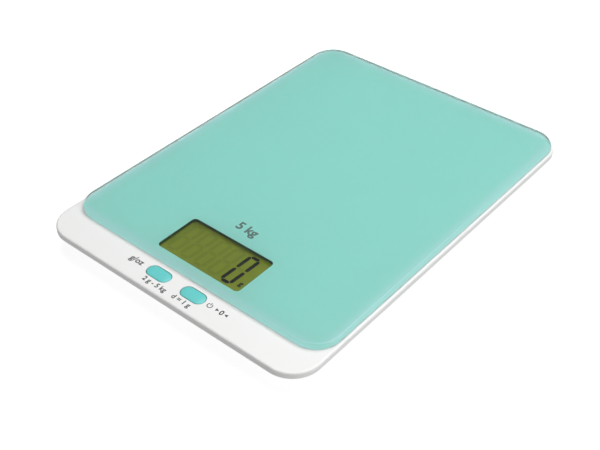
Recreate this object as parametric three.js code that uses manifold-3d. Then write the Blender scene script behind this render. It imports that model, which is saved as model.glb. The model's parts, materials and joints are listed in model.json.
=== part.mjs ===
// A slim digital kitchen scale with a glass platform, two buttons and four load-cell feet.
// Millimetres. +X is the user's right, +Y points away from the user and +Z is up.
// The origin is on the table, under the middle of the scale.
import * as THREE from "three";
import { mergeVertices } from "three/addons/utils/BufferGeometryUtils.js";
import Module from "manifold-3d";

const wasm = await Module();
wasm.setup();

// ---- Driving dimensions -------------------------------------------------------------------

// glass platform
const GLASS_WIDTH = 141;
const GLASS_DEPTH = 182;
const GLASS_THICK = 3;
const GLASS_CORNER = 12;
const GLASS_TOP_POLISH = 0.5; // rounding of the top arris
const GLASS_BOTTOM_POLISH = 0.3;
const PRINT_THICK = 0.1;
const PRINT_INSET = 0.5; // clear border outside the print
const TAPE_THICK = 0.3;
const TAPE_INSET = 1;
const TAPE_WIDTH = 4;

// body
const SIDE_LIP = 1.5; // body that shows beyond the glass at the sides and back
const STRIP_DEPTH = 15.5; // control strip in front of the glass
const BODY_HEIGHT = 10.8;
const SEAT_DEPTH = 0.8; // how far the glass seat is sunk below the strip
const SEAT_GAP = 0.3; // around the glass
const TOP_WALL = 1.6;
const RIM_WALL = 1.4;
const RIM_HEIGHT = 2.8;
const RIM_FILLET = 0.9;
const PAN_WALL = 1.6;
const PAN_INSET = 0.3; // shadow line under the rim
const PAN_ANGLE = 40; // degrees from level, the slope of the underside
const LIP_DROP = 1.2; // alignment lip inside the pan
const LIP_WALL = 1.2;
const LIP_GAP = 0.26;

// display
const WINDOW_WIDTH = 46;
const WINDOW_DEPTH = 23;
const WINDOW_CORNER = 2;
const WINDOW_FROM_EDGE = 5.7; // from the glass's front edge to the window
const DISPLAY_RECESS = 1.9; // from the print down to the display
const DISPLAY_PLATE = 1.1; // each of its two glass plates
const DISPLAY_BORDER_X = 2;
const DISPLAY_BORDER_Y = 2.25;
const DISPLAY_LEDGE = 2.6; // contact ledge, where only the front plate reaches
const BEZEL_WINDOW_GAP = 0.3; // bezel window beyond the print window
const BEZEL_WALL = 1;
const BEZEL_CORNER = 1.2;
const BEZEL_TO_PRINT = 0.1;
const BEZEL_TO_BOARD = 0.1;
const DISPLAY_GAP = 0.25;
const BEZEL_GAP = 0.2;
const ZEBRA_WIDTH = 1.8;
const ZEBRA_END = 2; // display glass left free at each end of the connector

// board
const BOARD_THICK = 1.2;
const BOARD_WIDTH = 55;
const BOARD_FROM_FRONT = 7.1;
const BOARD_PAST_BEZEL = 7.4;
const BOARD_TO_DISPLAY = 0.3;
const BOARD_SCREW_INSET_X = 4.5;
const BOARD_SCREW_INSET_FRONT = 5.9;
const BOARD_SCREW_INSET_BACK = 3.4;
const BLOB_X = 8;
const BLOB_RADIUS = 4.5;
const BLOB_HEIGHT = 1;

// buttons
const BUTTON_LENGTH = 12.2;
const BUTTON_WIDTH = 6.2;
const BUTTON_SPACING = 19.6;
const BUTTON_FROM_EDGE = 5.9; // from the glass's front edge to the buttons' centres
const BUTTON_GAP = 0.25;
const BUTTON_PROUD = 0.3;
const BUTTON_ROUND = 0.45;
const BUTTON_TRAVEL = 0.3;
const FLANGE_THICK = 0.6;
const FLANGE_EXTRA_X = 1.7;
const FLANGE_EXTRA_Y = 0.7;
const FLANGE_GAP = 0.1;
const SWITCH_SIZE = 5;
const SWITCH_HEIGHT = 1.9;
const PLUNGER_RADIUS = 1.5;
const PLUNGER_GAP = 0.15;
const PLUNGER_IN_BODY = 0.6;

// feet and load cells
const FLOOR_HEIGHT = 3; // underside of the pan above the table
const FOOT_INSET_X = 24;
const FOOT_INSET_Y = 23.5;
const PAD_RADIUS = 9;
const PAD_THICK = 1.4;
const FOOT_RADIUS = 9.5;
const FOOT_TRAVEL = 0.4;
const FOOT_TO_FLOOR = 0.1; // left between foot and pan at full travel
const STEM_RADIUS = 3.4;
const STEM_GAP = 0.8;
const FOOT_PILOT_FLOOR = 0.5; // from the foot's flange up to the end of its screw hole
const CELL_RAIL = 1; // height of the rails the load cell sits on
const CELL_LENGTH = 26;
const CELL_WIDTH = 18;
const CELL_THICK = 1;
const CELL_CORNER = 1.5;
const CELL_SLOT = 1.2;
const TONGUE_LENGTH = 14;
const TONGUE_WIDTH = 9;
const TONGUE_ROOT = 1; // the tongue's root is this much nearer the middle than its tip
const RAIL_WIDTH = 2.4;
const RAIL_LENGTH = 12;
const SEAL_LENGTH = 8;
const SEAL_WIDTH = 2.6;
const SEAL_HEIGHT = 0.8;
const SEAL_CORNER = 1;
const SEAL_ROUND = 0.5;

// battery
const COIN_RADIUS = 10;
const COIN_THICK = 3.2;
const COIN_STEP = 1.2; // the smaller cap's step in from the can
const COIN_CRIMP = 0.5;
const COIN_GAP = 0.3;
const COIN_FROM_BAY_CENTRE = 1.5;
const BAY_FROM_BOARD = 8;
const BAY_WALL = 1.4;
const BAY_LOW_HEIGHT = 1.8; // room for the door's tabs and latch above the floor
const BAY_MARGIN_X = 0.7;
const BAY_MARGIN_Y = 1.7;
const DOOR_BESIDE_COIN = 2; // door beyond the cell on each side
const DOOR_BEYOND_COIN = 10; // and along it, for the latch and the tabs
const DOOR_THICK = 1.4;
const DOOR_CORNER = 2;
const DOOR_GAP = 0.3;
const TAB_WIDTH = 5;
const TAB_SPACING = 14;
const TAB_ROOT = 2;
const TAB_REACH = 1.2; // how far the tabs hook over the floor
const TAB_HEIGHT = 1.2;
const LATCH_WIDTH = 7.2;
const LATCH_LEAF = 0.8;
const LATCH_LOOP = 3.1; // front of the outer leaf to the back of the inner one
const LATCH_HEIGHT = 1.7; // loop above the door's inner face
const LATCH_NIB = 0.2;
const LATCH_SET_BACK = 0.1; // outer leaf behind the door's front edge
const LATCH_SIDE_GAP = 0.4;
const LATCH_RISE = 0.2; // outer leaf's lower end above the door's outer face
const NIB_HEIGHT = 0.6;
const NIB_GAP = 0.2; // between the nib and the inside of the floor
const CONTACT_THICK = 0.3;
const CONTACT_WIDTH = 5;
const CONTACT_TAIL = 2;
const PLUS_LEAF_RISE = 0.8; // side contact above the floor
const PLUS_TAIL_WIDTH = 1.2;
const LABEL_WIDTH = 60;
const LABEL_DEPTH = 36;
const LABEL_THICK = 0.1;
const LABEL_FROM_BAY = 12;

// screws and wires
const SHELL_SCREW_FROM_CELL = 4; // from a load cell's end to the screw beside it
const SHELL_SCREW_INSET_Y = 14;
const SHELL_SCREW_SIDE_INSET = 16;
const SHELL_HEAD_RADIUS = 2.3;
const SHELL_HEAD_THICK = 1.6;
const SHELL_SHANK_RADIUS = 1.05;
const BOARD_HEAD_RADIUS = 1.8;
const BOARD_HEAD_THICK = 1.2;
const BOARD_SHANK_RADIUS = 0.75;
const FOOT_HEAD_RADIUS = 1.9;
const FOOT_HEAD_THICK = 1.1;
const FOOT_SHANK_RADIUS = 0.8;
const SCREW_GAP = 0.15;
const HEAD_BEVEL = 0.3;
const CROSS_ARM = 0.62; // arms and slots of the cross, as shares of the head's radius
const CROSS_SLOT = 0.16;
const BOSS_WALL = 1.6;
const WIRE_RADIUS = 0.7;
const LEAD_RADIUS = 0.5;
const WIRE_LIFT = 0.1; // wires above the load cell's face
const WIRE_STRAIGHT = 4; // straight length at a wire's end
const WIRE_SIDESTEP = 3.2;
const WIRE_FROM_BAY = 22;
const WIRE_FROM_BOARD_SIDE = 6;
const FACE_GAP = 0.3; // between a wire's end and what it is soldered to

// fits and finishes that several pieces share
const FUSE = 0.1; // joined pieces run this far into each other
const PAST = 1; // cutters run this far past a face
const COIN_TO_CONTACT = 0.1;
const EDGE_ROUND = 0.4; // rounding of pads, feet and the coin cell
const BOSS_GAP = 0.2; // between the two halves of a screw boss
const SCREW_COLUMN_WALL = 1;
const SCREW_SINK = 0.2; // how far a shell screw's head sits inside its hole
const SCREW_COLUMN_HEIGHT = 2.8;
const BAY_CORNER = 1.5;
const MIN_CORNER = 1; // smallest corner radius where an outline shrinks
const PILOT_ROOF = 0.8; // plastic left above a screw hole
const SCREW_TIP_GAP = 0.3; // between a screw's tip and the end of its hole
const RAIL_FROM_END = 0.6; // from a load cell's end to its rail
const CONTACT_SLOT_GAP = 0.3;
const NEST_OVERLAP = 1; // how far the side contact's pocket cuts into the round nest
const DIP_RADIUS = 5; // finger dip in front of the door
const DIP_DEPTH = 0.8;
const DIP_FROM_DOOR = 1.5;
const GRIP_HALF = 4;
const GRIP_PITCH = 3;
const GRIP_WIDTH = 0.8;
const GRIP_DEPTH = 0.3;
const WIRE_DROP = 0.6; // from the board's top down to the middle of a wire's end

// fineness of round shapes
const CORNER_STEPS = 12;
const SMALL_STEPS = 4;
const EASE_STEPS = 4;
const ROUND_SIDES = 36;
const SCREW_SIDES = 16;
const WIRE_SIDES = 8;
const SHORT_WIRE_STEPS = 4;
const LONG_WIRE_STEPS = 20;

// ---- Derived levels and places ------------------------------------------------------------

const BODY_WIDTH = GLASS_WIDTH + 2 * SIDE_LIP;
const BODY_DEPTH = GLASS_DEPTH + STRIP_DEPTH + SIDE_LIP;
const BODY_CORNER = GLASS_CORNER + SIDE_LIP;
const FRONT_Y = -BODY_DEPTH / 2;
const BACK_Y = BODY_DEPTH / 2;
const GLASS_FRONT_Y = FRONT_Y + STRIP_DEPTH;
const GLASS_Y = GLASS_FRONT_Y + GLASS_DEPTH / 2;

const FLOOR_Z = FLOOR_HEIGHT;
const FLOOR_IN_Z = FLOOR_Z + PAN_WALL;
const STRIP_Z = FLOOR_Z + BODY_HEIGHT;
const SEAT_Z = STRIP_Z - SEAT_DEPTH;
const PARTING_Z = STRIP_Z - RIM_HEIGHT;
const CEILING_Z = SEAT_Z - TOP_WALL;
const STRIP_CEILING_Z = STRIP_Z - TOP_WALL;
const PRINT_Z = SEAT_Z + TAPE_THICK;
const GLASS_Z = PRINT_Z + PRINT_THICK;

const PAN_RUN = 1 / Math.tan(THREE.MathUtils.degToRad(PAN_ANGLE));
const PAN_WALL_ACROSS = PAN_WALL / Math.sin(THREE.MathUtils.degToRad(PAN_ANGLE));
const LIP_BOTTOM_Z = CEILING_Z - LIP_DROP;

const WINDOW_Y = GLASS_FRONT_Y + WINDOW_FROM_EDGE + WINDOW_DEPTH / 2;
const DISPLAY_TOP_Z = PRINT_Z - DISPLAY_RECESS;
const DISPLAY_BOTTOM_Z = DISPLAY_TOP_Z - 2 * DISPLAY_PLATE;
const DISPLAY_WIDTH = WINDOW_WIDTH + 2 * DISPLAY_BORDER_X;
const DISPLAY_DEPTH = WINDOW_DEPTH + 2 * DISPLAY_BORDER_Y;
const BEZEL_WIDTH = DISPLAY_WIDTH + 2 * (DISPLAY_GAP + BEZEL_WALL);
const BEZEL_DEPTH = DISPLAY_DEPTH + 2 * (DISPLAY_GAP + BEZEL_WALL);

const BOARD_TOP_Z = DISPLAY_BOTTOM_Z - BOARD_TO_DISPLAY;
const BOARD_Z = BOARD_TOP_Z - BOARD_THICK;
const BOARD_FRONT_Y = FRONT_Y + BOARD_FROM_FRONT;
const BOARD_BACK_Y = WINDOW_Y + BEZEL_DEPTH / 2 + BOARD_PAST_BEZEL;
const BOARD_SCREW_X = BOARD_WIDTH / 2 - BOARD_SCREW_INSET_X;
const BOARD_SCREW_YS = [
  BOARD_FRONT_Y + BOARD_SCREW_INSET_FRONT,
  BOARD_BACK_Y - BOARD_SCREW_INSET_BACK,
];

const BUTTON_Y = GLASS_FRONT_Y - BUTTON_FROM_EDGE;
const FLANGE_TOP_Z = STRIP_CEILING_Z - FLANGE_GAP;
const FLANGE_Z = FLANGE_TOP_Z - FLANGE_THICK;
const STRIP_CAVITY_BACK_Y = GLASS_FRONT_Y - SEAT_GAP - TOP_WALL;

const FOOT_X = BODY_WIDTH / 2 - FOOT_INSET_X;
const FOOT_Y = BODY_DEPTH / 2 - FOOT_INSET_Y;
const CELL_Z = FLOOR_IN_Z + CELL_RAIL;
const CELL_TOP_Z = CELL_Z + CELL_THICK;
const FOOT_TOP_Z = FLOOR_Z - FOOT_TRAVEL - FOOT_TO_FLOOR;
const RAIL_X = CELL_LENGTH / 2 - RAIL_WIDTH / 2 - RAIL_FROM_END;
const BEAM_Y = (TONGUE_WIDTH / 2 + CELL_SLOT + CELL_WIDTH / 2) / 2;

const NIB_Z = PAN_WALL + NIB_GAP; // above the door's outer face
const DOOR_WIDTH = 2 * (COIN_RADIUS + DOOR_BESIDE_COIN);
const DOOR_DEPTH = 2 * COIN_RADIUS + DOOR_BEYOND_COIN;
const BAY_WIDTH = DOOR_WIDTH + 2 * (DOOR_GAP + BAY_MARGIN_X);
const BAY_DEPTH = DOOR_DEPTH + 2 * (DOOR_GAP + BAY_MARGIN_Y);
const BAY_FRONT_Y = BOARD_BACK_Y + BAY_FROM_BOARD;
const BAY_Y = BAY_FRONT_Y + BAY_WALL + BAY_DEPTH / 2;
const COIN_Y = BAY_Y + COIN_FROM_BAY_CENTRE;
const DOOR_TOP_Z = FLOOR_Z + DOOR_THICK;
const COIN_Z = DOOR_TOP_Z + COIN_GAP;
const COIN_TOP_Z = COIN_Z + COIN_THICK;
const BAY_CEILING_Z = COIN_TOP_Z + 2 * CONTACT_THICK + COIN_TO_CONTACT;
const BAY_TOP_Z = BAY_CEILING_Z + BAY_WALL;
const PLUS_X = COIN_RADIUS + COIN_TO_CONTACT;
const PLUS_LEAF_Z = FLOOR_IN_Z + PLUS_LEAF_RISE;
const PLUS_TOP_Z = COIN_TOP_Z + CONTACT_THICK;
const PLUS_TAIL_Z = PLUS_TOP_Z - PLUS_TAIL_WIDTH;
const LABEL_Y = BAY_Y + BAY_DEPTH / 2 + LABEL_FROM_BAY + LABEL_DEPTH / 2;

const SHELL_SCREW_X = FOOT_X - CELL_LENGTH / 2 - SHELL_SCREW_FROM_CELL;
const SHELL_SCREW_SEAT_Z = FLOOR_Z + SHELL_HEAD_THICK + SCREW_SINK;
const SHELL_SCREW_SPLIT_Z = FLOOR_IN_Z + SCREW_COLUMN_HEIGHT;
const SHELL_SCREWS = [
  [-SHELL_SCREW_X, FRONT_Y + SHELL_SCREW_INSET_Y],
  [SHELL_SCREW_X, FRONT_Y + SHELL_SCREW_INSET_Y],
  [-(BODY_WIDTH / 2 - SHELL_SCREW_SIDE_INSET), 0],
  [BODY_WIDTH / 2 - SHELL_SCREW_SIDE_INSET, 0],
  [-SHELL_SCREW_X, BACK_Y - SHELL_SCREW_INSET_Y],
  [SHELL_SCREW_X, BACK_Y - SHELL_SCREW_INSET_Y],
];
const PILOT_TOP_Z = SEAT_Z - PILOT_ROOF;
const BOARD_SCREWS = BOARD_SCREW_YS.flatMap((y) => [
  [-BOARD_SCREW_X, y],
  [BOARD_SCREW_X, y],
]);

// ---- Geometry helpers ---------------------------------------------------------------------

// A closed outline of a rectangle with round corners, counter-clockwise, centred on (x, y).
function roundedOutline(width, depth, radius, x = 0, y = 0, steps = CORNER_STEPS) {
  const points = [];
  const corners = [
    [1, 1, 0],
    [-1, 1, Math.PI / 2],
    [-1, -1, Math.PI],
    [1, -1, (3 * Math.PI) / 2],
  ];
  for (const [sx, sy, start] of corners) {
    for (let i = 0; i <= steps; i++) {
      const angle = start + (i / steps) * (Math.PI / 2);
      const cx = x + sx * (width / 2 - radius);
      const cy = y + sy * (depth / 2 - radius);
      points.push(new THREE.Vector2(cx + radius * Math.cos(angle), cy + radius * Math.sin(angle)));
    }
  }
  return points;
}

// A closed solid through rings of equal length, from the bottom up: [[outline, z], ...].
function loft(rings) {
  const count = rings[0][0].length;
  const positions = rings.flatMap(([outline, z]) => outline.flatMap((p) => [p.x, p.y, z]));
  const index = [];
  for (let r = 0; r + 1 < rings.length; r++) {
    for (let i = 0; i < count; i++) {
      const a = r * count + i;
      const b = r * count + ((i + 1) % count);
      index.push(a, b, b + count, a, b + count, a + count);
    }
  }
  const top = (rings.length - 1) * count;
  for (const [a, b, c] of THREE.ShapeUtils.triangulateShape(rings[0][0], [])) index.push(c, b, a);
  for (const [a, b, c] of THREE.ShapeUtils.triangulateShape(rings.at(-1)[0], [])) {
    index.push(top + a, top + b, top + c);
  }
  const geometry = new THREE.BufferGeometry();
  geometry.setAttribute("position", new THREE.Float32BufferAttribute(positions, 3));
  geometry.setIndex(index);
  return geometry;
}

// The rings of a rounded slab whose edges are eased by round fillets at the bottom and the top.
function easedRings(width, depth, corner, z0, z1, bottomEase, topEase, x = 0, y = 0, steps = CORNER_STEPS) {
  const ring = (inset, z) => [
    roundedOutline(width - 2 * inset, depth - 2 * inset, corner - inset, x, y, steps),
    z,
  ];
  const rings = [];
  for (let i = 0; i <= EASE_STEPS && bottomEase > 0; i++) {
    const a = (i / EASE_STEPS) * (Math.PI / 2);
    rings.push(ring(bottomEase * (1 - Math.sin(a)), z0 + bottomEase * (1 - Math.cos(a))));
  }
  if (bottomEase === 0) rings.push(ring(0, z0));
  if (topEase === 0) rings.push(ring(0, z1));
  for (let i = 0; i <= EASE_STEPS && topEase > 0; i++) {
    const a = (i / EASE_STEPS) * (Math.PI / 2);
    rings.push(ring(topEase * (1 - Math.cos(a)), z1 - topEase * (1 - Math.sin(a))));
  }
  return rings;
}

// A straight-sided slab with rounded corners.
function slab(width, depth, corner, z0, z1, x = 0, y = 0, steps = SMALL_STEPS) {
  return loft([
    [roundedOutline(width, depth, corner, x, y, steps), z0],
    [roundedOutline(width, depth, corner, x, y, steps), z1],
  ]);
}

function box(x0, x1, y0, y1, z0, z1) {
  const geometry = new THREE.BoxGeometry(x1 - x0, y1 - y0, z1 - z0);
  return geometry.translate((x0 + x1) / 2, (y0 + y1) / 2, (z0 + z1) / 2);
}

// An upright cylinder.
function post(radius, z0, z1, x = 0, y = 0, sides = SCREW_SIDES) {
  const geometry = new THREE.CylinderGeometry(radius, radius, z1 - z0, sides);
  return geometry.rotateX(Math.PI / 2).translate(x, y, (z0 + z1) / 2);
}

// A solid of revolution about Z from [radius, z] points that start and end on the axis, bottom first.
function turned(profile, sides = ROUND_SIDES) {
  const points = profile.map(([r, z]) => new THREE.Vector2(r, z));
  return new THREE.LatheGeometry(points, sides).rotateX(Math.PI / 2);
}

function toSolid(geometry) {
  const bare = geometry.clone();
  bare.deleteAttribute("normal");
  bare.deleteAttribute("uv");
  const merged = mergeVertices(bare, 1e-4);
  return new wasm.Manifold(
    new wasm.Mesh({
      numProp: 3,
      vertProperties: Float32Array.from(merged.attributes.position.array),
      triVerts: Uint32Array.from(merged.index.array),
    }),
  );
}

function toGeometry(solid) {
  const mesh = solid.getMesh();
  const geometry = new THREE.BufferGeometry();
  geometry.setAttribute("position", new THREE.BufferAttribute(mesh.vertProperties, 3));
  geometry.setIndex(new THREE.BufferAttribute(mesh.triVerts, 1));
  return geometry;
}

// The base geometry with some pieces joined on and then others cut away.
function carve(base, { joins = [], cuts = [] }) {
  let solid = toSolid(base);
  for (const piece of joins) solid = solid.add(toSolid(piece));
  for (const piece of cuts) solid = solid.subtract(toSolid(piece));
  return toGeometry(solid);
}

// ---- Materials ----------------------------------------------------------------------------

function material(colour, roughness, metalness = 0, more = {}) {
  return new THREE.MeshStandardMaterial({ color: colour, roughness, metalness, ...more });
}

const clearGlass = material(0xdff2ee, 0.03, 0, { transparent: true, opacity: 0.35 });
const mintInk = material(0x8dd1c6, 0.35);
const mintKey = material(0x70cbc8, 0.35);
const whitePlastic = material(0xf0f0ee, 0.4);
const blackPlastic = material(0x1b1d1a, 0.6);
const displayGlass = material(0x7d8a3c, 0.2);
const adhesive = material(0xe8e6df, 0.9);
const elastomer = material(0xd9b8b0, 0.7);
const boardGreen = material(0x2f6b45, 0.5);
const epoxy = material(0x111111, 0.3);
const steel = material(0xb9bcc0, 0.35, 1);
const sealant = material(0xf4f4f0, 0.6);
const rubber = material(0x8f9492, 0.9);
const wireSleeve = material(0xc9c9c9, 0.5);
const redSleeve = material(0xb02a22, 0.5);
const blackSleeve = material(0x1a1a1a, 0.5);
const paper = material(0xd9dbdc, 0.6);

const scale = new THREE.Group();

function part(name, geometry, look, group = scale) {
  if (!geometry.getAttribute("normal")) geometry.computeVertexNormals();
  const mesh = new THREE.Mesh(geometry, look);
  mesh.name = name;
  group.add(mesh);
  return mesh;
}

// ---- Glass platform -----------------------------------------------------------------------

part(
  "glass_platform",
  loft(
    easedRings(
      GLASS_WIDTH, GLASS_DEPTH, GLASS_CORNER, GLASS_Z, GLASS_Z + GLASS_THICK,
      GLASS_BOTTOM_POLISH, GLASS_TOP_POLISH, 0, GLASS_Y,
    ),
  ),
  clearGlass,
);

// A rounded plate that follows the glass outline at a distance inside it.
function glassPlate(inset, z0, z1) {
  return slab(
    GLASS_WIDTH - 2 * inset, GLASS_DEPTH - 2 * inset, GLASS_CORNER - inset, z0, z1, 0, GLASS_Y, CORNER_STEPS,
  );
}

const windowCut = slab(
  WINDOW_WIDTH, WINDOW_DEPTH, WINDOW_CORNER, PRINT_Z - PAST, GLASS_Z + PAST, 0, WINDOW_Y,
);
part("glass_print", carve(glassPlate(PRINT_INSET, PRINT_Z, GLASS_Z), { cuts: [windowCut] }), mintInk);

// What the display's bezel passes through, from below the top wall to above the strip.
const bezelOpening = slab(
  BEZEL_WIDTH + 2 * BEZEL_GAP, BEZEL_DEPTH + 2 * BEZEL_GAP, BEZEL_CORNER + BEZEL_GAP,
  CEILING_Z - PAST, STRIP_Z + PAST, 0, WINDOW_Y,
);
const tapeHole = glassPlate(TAPE_INSET + TAPE_WIDTH, SEAT_Z - PAST, PRINT_Z + PAST);
const tapeCuts = { cuts: [tapeHole, bezelOpening] };
part("platform_tape", carve(glassPlate(TAPE_INSET, SEAT_Z, PRINT_Z), tapeCuts), adhesive);

// ---- Top shell ----------------------------------------------------------------------------

// A slab that follows the body outline at a distance inside it.
function bodyPlate(inset, z0, z1) {
  const corner = Math.max(BODY_CORNER - inset, MIN_CORNER);
  return slab(BODY_WIDTH - 2 * inset, BODY_DEPTH - 2 * inset, corner, z0, z1, 0, 0, CORNER_STEPS);
}

const buttonXs = { unit: -BUTTON_SPACING / 2, tare: BUTTON_SPACING / 2 };

function pill(length, width, z0, z1, x) {
  return slab(length, width, width / 2, z0, z1, x, BUTTON_Y, CORNER_STEPS);
}

// The two rails that hold a load cell's ends, at one foot.
function cellRails(x, y, z0, z1) {
  return [-1, 1].map((side) => {
    const rx = x + side * RAIL_X;
    return box(rx - RAIL_WIDTH / 2, rx + RAIL_WIDTH / 2, y - RAIL_LENGTH / 2, y + RAIL_LENGTH / 2, z0, z1);
  });
}

const CORNERS = {
  front_left: [-1, -1],
  front_right: [1, -1],
  back_left: [-1, 1],
  back_right: [1, 1],
};
const footPlaces = Object.values(CORNERS).map(([sx, sy]) => [sx * FOOT_X, sy * FOOT_Y]);

function topShell() {
  const outer = loft(
    easedRings(BODY_WIDTH, BODY_DEPTH, BODY_CORNER, PARTING_Z, STRIP_Z, 0, RIM_FILLET),
  );
  const lipInset = PAN_INSET + (PARTING_Z - LIP_BOTTOM_Z) * PAN_RUN + PAN_WALL_ACROSS + LIP_GAP;
  const lip = carve(bodyPlate(lipInset, LIP_BOTTOM_Z, STRIP_CEILING_Z + FUSE), {
    cuts: [bodyPlate(lipInset + LIP_WALL, LIP_BOTTOM_Z - PAST, STRIP_Z)],
  });
  const stripCavity = toGeometry(
    toSolid(bodyPlate(RIM_WALL, PARTING_Z - PAST, STRIP_CEILING_Z)).intersect(
      toSolid(box(-BODY_WIDTH, BODY_WIDTH, -BODY_DEPTH, STRIP_CAVITY_BACK_Y, 0, STRIP_Z)),
    ),
  );
  const seat = glassPlate(-SEAT_GAP, SEAT_Z, STRIP_Z + PAST);
  const cavity = bodyPlate(RIM_WALL, PARTING_Z - PAST, CEILING_Z);
  const hollow = carve(outer, { cuts: [cavity, stripCavity, seat] });
  const bossTop = STRIP_CEILING_Z + FUSE;
  const shellBoss = SHELL_SHANK_RADIUS + SCREW_GAP + BOSS_WALL;
  const boardBoss = BOARD_SHANK_RADIUS + SCREW_GAP + BOSS_WALL;
  const bosses = [
    ...SHELL_SCREWS.map(([x, y]) => post(shellBoss, SHELL_SCREW_SPLIT_Z + BOSS_GAP, bossTop, x, y)),
    ...BOARD_SCREWS.map(([x, y]) => post(boardBoss, BOARD_TOP_Z, bossTop, x, y)),
  ];
  const pilots = [
    ...SHELL_SCREWS.map(([x, y]) => post(SHELL_SHANK_RADIUS + SCREW_GAP, 0, PILOT_TOP_Z, x, y)),
    ...BOARD_SCREWS.map(([x, y]) => post(BOARD_SHANK_RADIUS + SCREW_GAP, 0, PILOT_TOP_Z, x, y)),
  ];
  const rails = footPlaces.flatMap(([x, y]) => cellRails(x, y, CELL_TOP_Z, CEILING_Z + FUSE));
  const keyHoles = Object.values(buttonXs).map((x) =>
    pill(
      BUTTON_LENGTH + 2 * BUTTON_GAP, BUTTON_WIDTH + 2 * BUTTON_GAP,
      STRIP_CEILING_Z - PAST, STRIP_Z + PAST, x,
    ),
  );
  return carve(hollow, { joins: [lip, ...bosses, ...rails], cuts: [bezelOpening, ...pilots, ...keyHoles] });
}
part("top_shell", topShell(), whitePlastic);

// ---- Bottom shell -------------------------------------------------------------------------

// The tapered pan, grown or shrunk by an inset across its sloping wall.
function panForm(inset, z0, z1) {
  const ring = (z) => {
    const across = PAN_INSET + (PARTING_Z - z) * PAN_RUN + inset;
    const corner = Math.max(BODY_CORNER - across, MIN_CORNER);
    return [roundedOutline(BODY_WIDTH - 2 * across, BODY_DEPTH - 2 * across, corner), z];
  };
  return loft([ring(z0), ring(z1)]);
}

function bottomShell() {
  const columnRadius = SHELL_HEAD_RADIUS + 2 * SCREW_GAP + SCREW_COLUMN_WALL;
  const bayBlock = slab(
    BAY_WIDTH + 2 * BAY_WALL, BAY_DEPTH + 2 * BAY_WALL, BAY_CORNER,
    FLOOR_IN_Z - FUSE, BAY_TOP_Z, 0, BAY_Y,
  );
  const hollow = carve(panForm(0, FLOOR_Z, PARTING_Z), {
    cuts: [panForm(PAN_WALL_ACROSS, FLOOR_IN_Z, PARTING_Z + PAST)],
  });
  const joins = [
    bayBlock,
    ...SHELL_SCREWS.map(([x, y]) => post(columnRadius, FLOOR_IN_Z - FUSE, SHELL_SCREW_SPLIT_Z, x, y)),
    ...footPlaces.flatMap(([x, y]) => cellRails(x, y, FLOOR_IN_Z - FUSE, CELL_Z)),
  ];
  const doorHole = slab(
    DOOR_WIDTH + 2 * DOOR_GAP, DOOR_DEPTH + 2 * DOOR_GAP, DOOR_CORNER + DOOR_GAP,
    FLOOR_Z - PAST, FLOOR_IN_Z + FUSE, 0, BAY_Y,
  );
  const bayLow = slab(BAY_WIDTH, BAY_DEPTH, BAY_CORNER, FLOOR_IN_Z, FLOOR_IN_Z + BAY_LOW_HEIGHT, 0, BAY_Y);
  const coinNest = post(COIN_RADIUS + COIN_GAP, FLOOR_IN_Z, BAY_CEILING_Z, 0, COIN_Y, ROUND_SIDES);
  const slotEnd = BAY_FRONT_Y - PAST;
  const slotHalf = CONTACT_WIDTH / 2 + CONTACT_SLOT_GAP;
  const minusSlot = box(-slotHalf, slotHalf, slotEnd, COIN_Y, COIN_TOP_Z, BAY_CEILING_Z);
  const plusOut = PLUS_X + CONTACT_THICK;
  const plusPocket = box(
    COIN_RADIUS - NEST_OVERLAP, plusOut + 4 * CONTACT_SLOT_GAP, COIN_Y - slotHalf, COIN_Y + slotHalf,
    PLUS_LEAF_Z - CONTACT_SLOT_GAP, BAY_CEILING_Z,
  );
  const plusSlot = box(
    PLUS_X - CONTACT_SLOT_GAP, plusOut + CONTACT_SLOT_GAP, slotEnd, COIN_Y,
    PLUS_TAIL_Z - CONTACT_SLOT_GAP, BAY_CEILING_Z,
  );
  const dipY = BAY_Y - DOOR_DEPTH / 2 - DIP_FROM_DOOR;
  const fingerDip = post(DIP_RADIUS, FLOOR_Z - PAST, FLOOR_Z + DIP_DEPTH, 0, dipY, ROUND_SIDES);
  const cuts = [
    doorHole, bayLow, coinNest, minusSlot, plusPocket, plusSlot, fingerDip,
    ...SHELL_SCREWS.map(([x, y]) =>
      post(SHELL_HEAD_RADIUS + 2 * SCREW_GAP, FLOOR_Z - PAST, SHELL_SCREW_SEAT_Z, x, y),
    ),
    ...SHELL_SCREWS.map(([x, y]) => post(SHELL_SHANK_RADIUS + 3 * SCREW_GAP, FLOOR_Z, PARTING_Z, x, y)),
    ...footPlaces.map(([x, y]) =>
      post(STEM_RADIUS + STEM_GAP, FLOOR_Z - PAST, FLOOR_IN_Z + PAST, x, y, ROUND_SIDES),
    ),
  ];
  return carve(hollow, { joins, cuts });
}
part("bottom_shell", bottomShell(), whitePlastic);

const label = slab(LABEL_WIDTH, LABEL_DEPTH, 2, FLOOR_Z - LABEL_THICK, FLOOR_Z, 0, LABEL_Y);
part("rating_label", label, paper);

// ---- Display ------------------------------------------------------------------------------

const bezelOuter = slab(
  BEZEL_WIDTH, BEZEL_DEPTH, BEZEL_CORNER, BOARD_TOP_Z + BEZEL_TO_BOARD,
  PRINT_Z - BEZEL_TO_PRINT, 0, WINDOW_Y,
);
const bezelWindow = slab(
  WINDOW_WIDTH + 2 * BEZEL_WINDOW_GAP, WINDOW_DEPTH + 2 * BEZEL_WINDOW_GAP, WINDOW_CORNER + BEZEL_WINDOW_GAP,
  DISPLAY_TOP_Z - PAST, PRINT_Z + PAST, 0, WINDOW_Y,
);
const bezelPocket = slab(
  DISPLAY_WIDTH + 2 * DISPLAY_GAP, DISPLAY_DEPTH + 2 * DISPLAY_GAP, 0.5,
  BOARD_TOP_Z - PAST, DISPLAY_TOP_Z, 0, WINDOW_Y,
);
part("lcd_bezel", carve(bezelOuter, { cuts: [bezelWindow, bezelPocket] }), blackPlastic);

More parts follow.
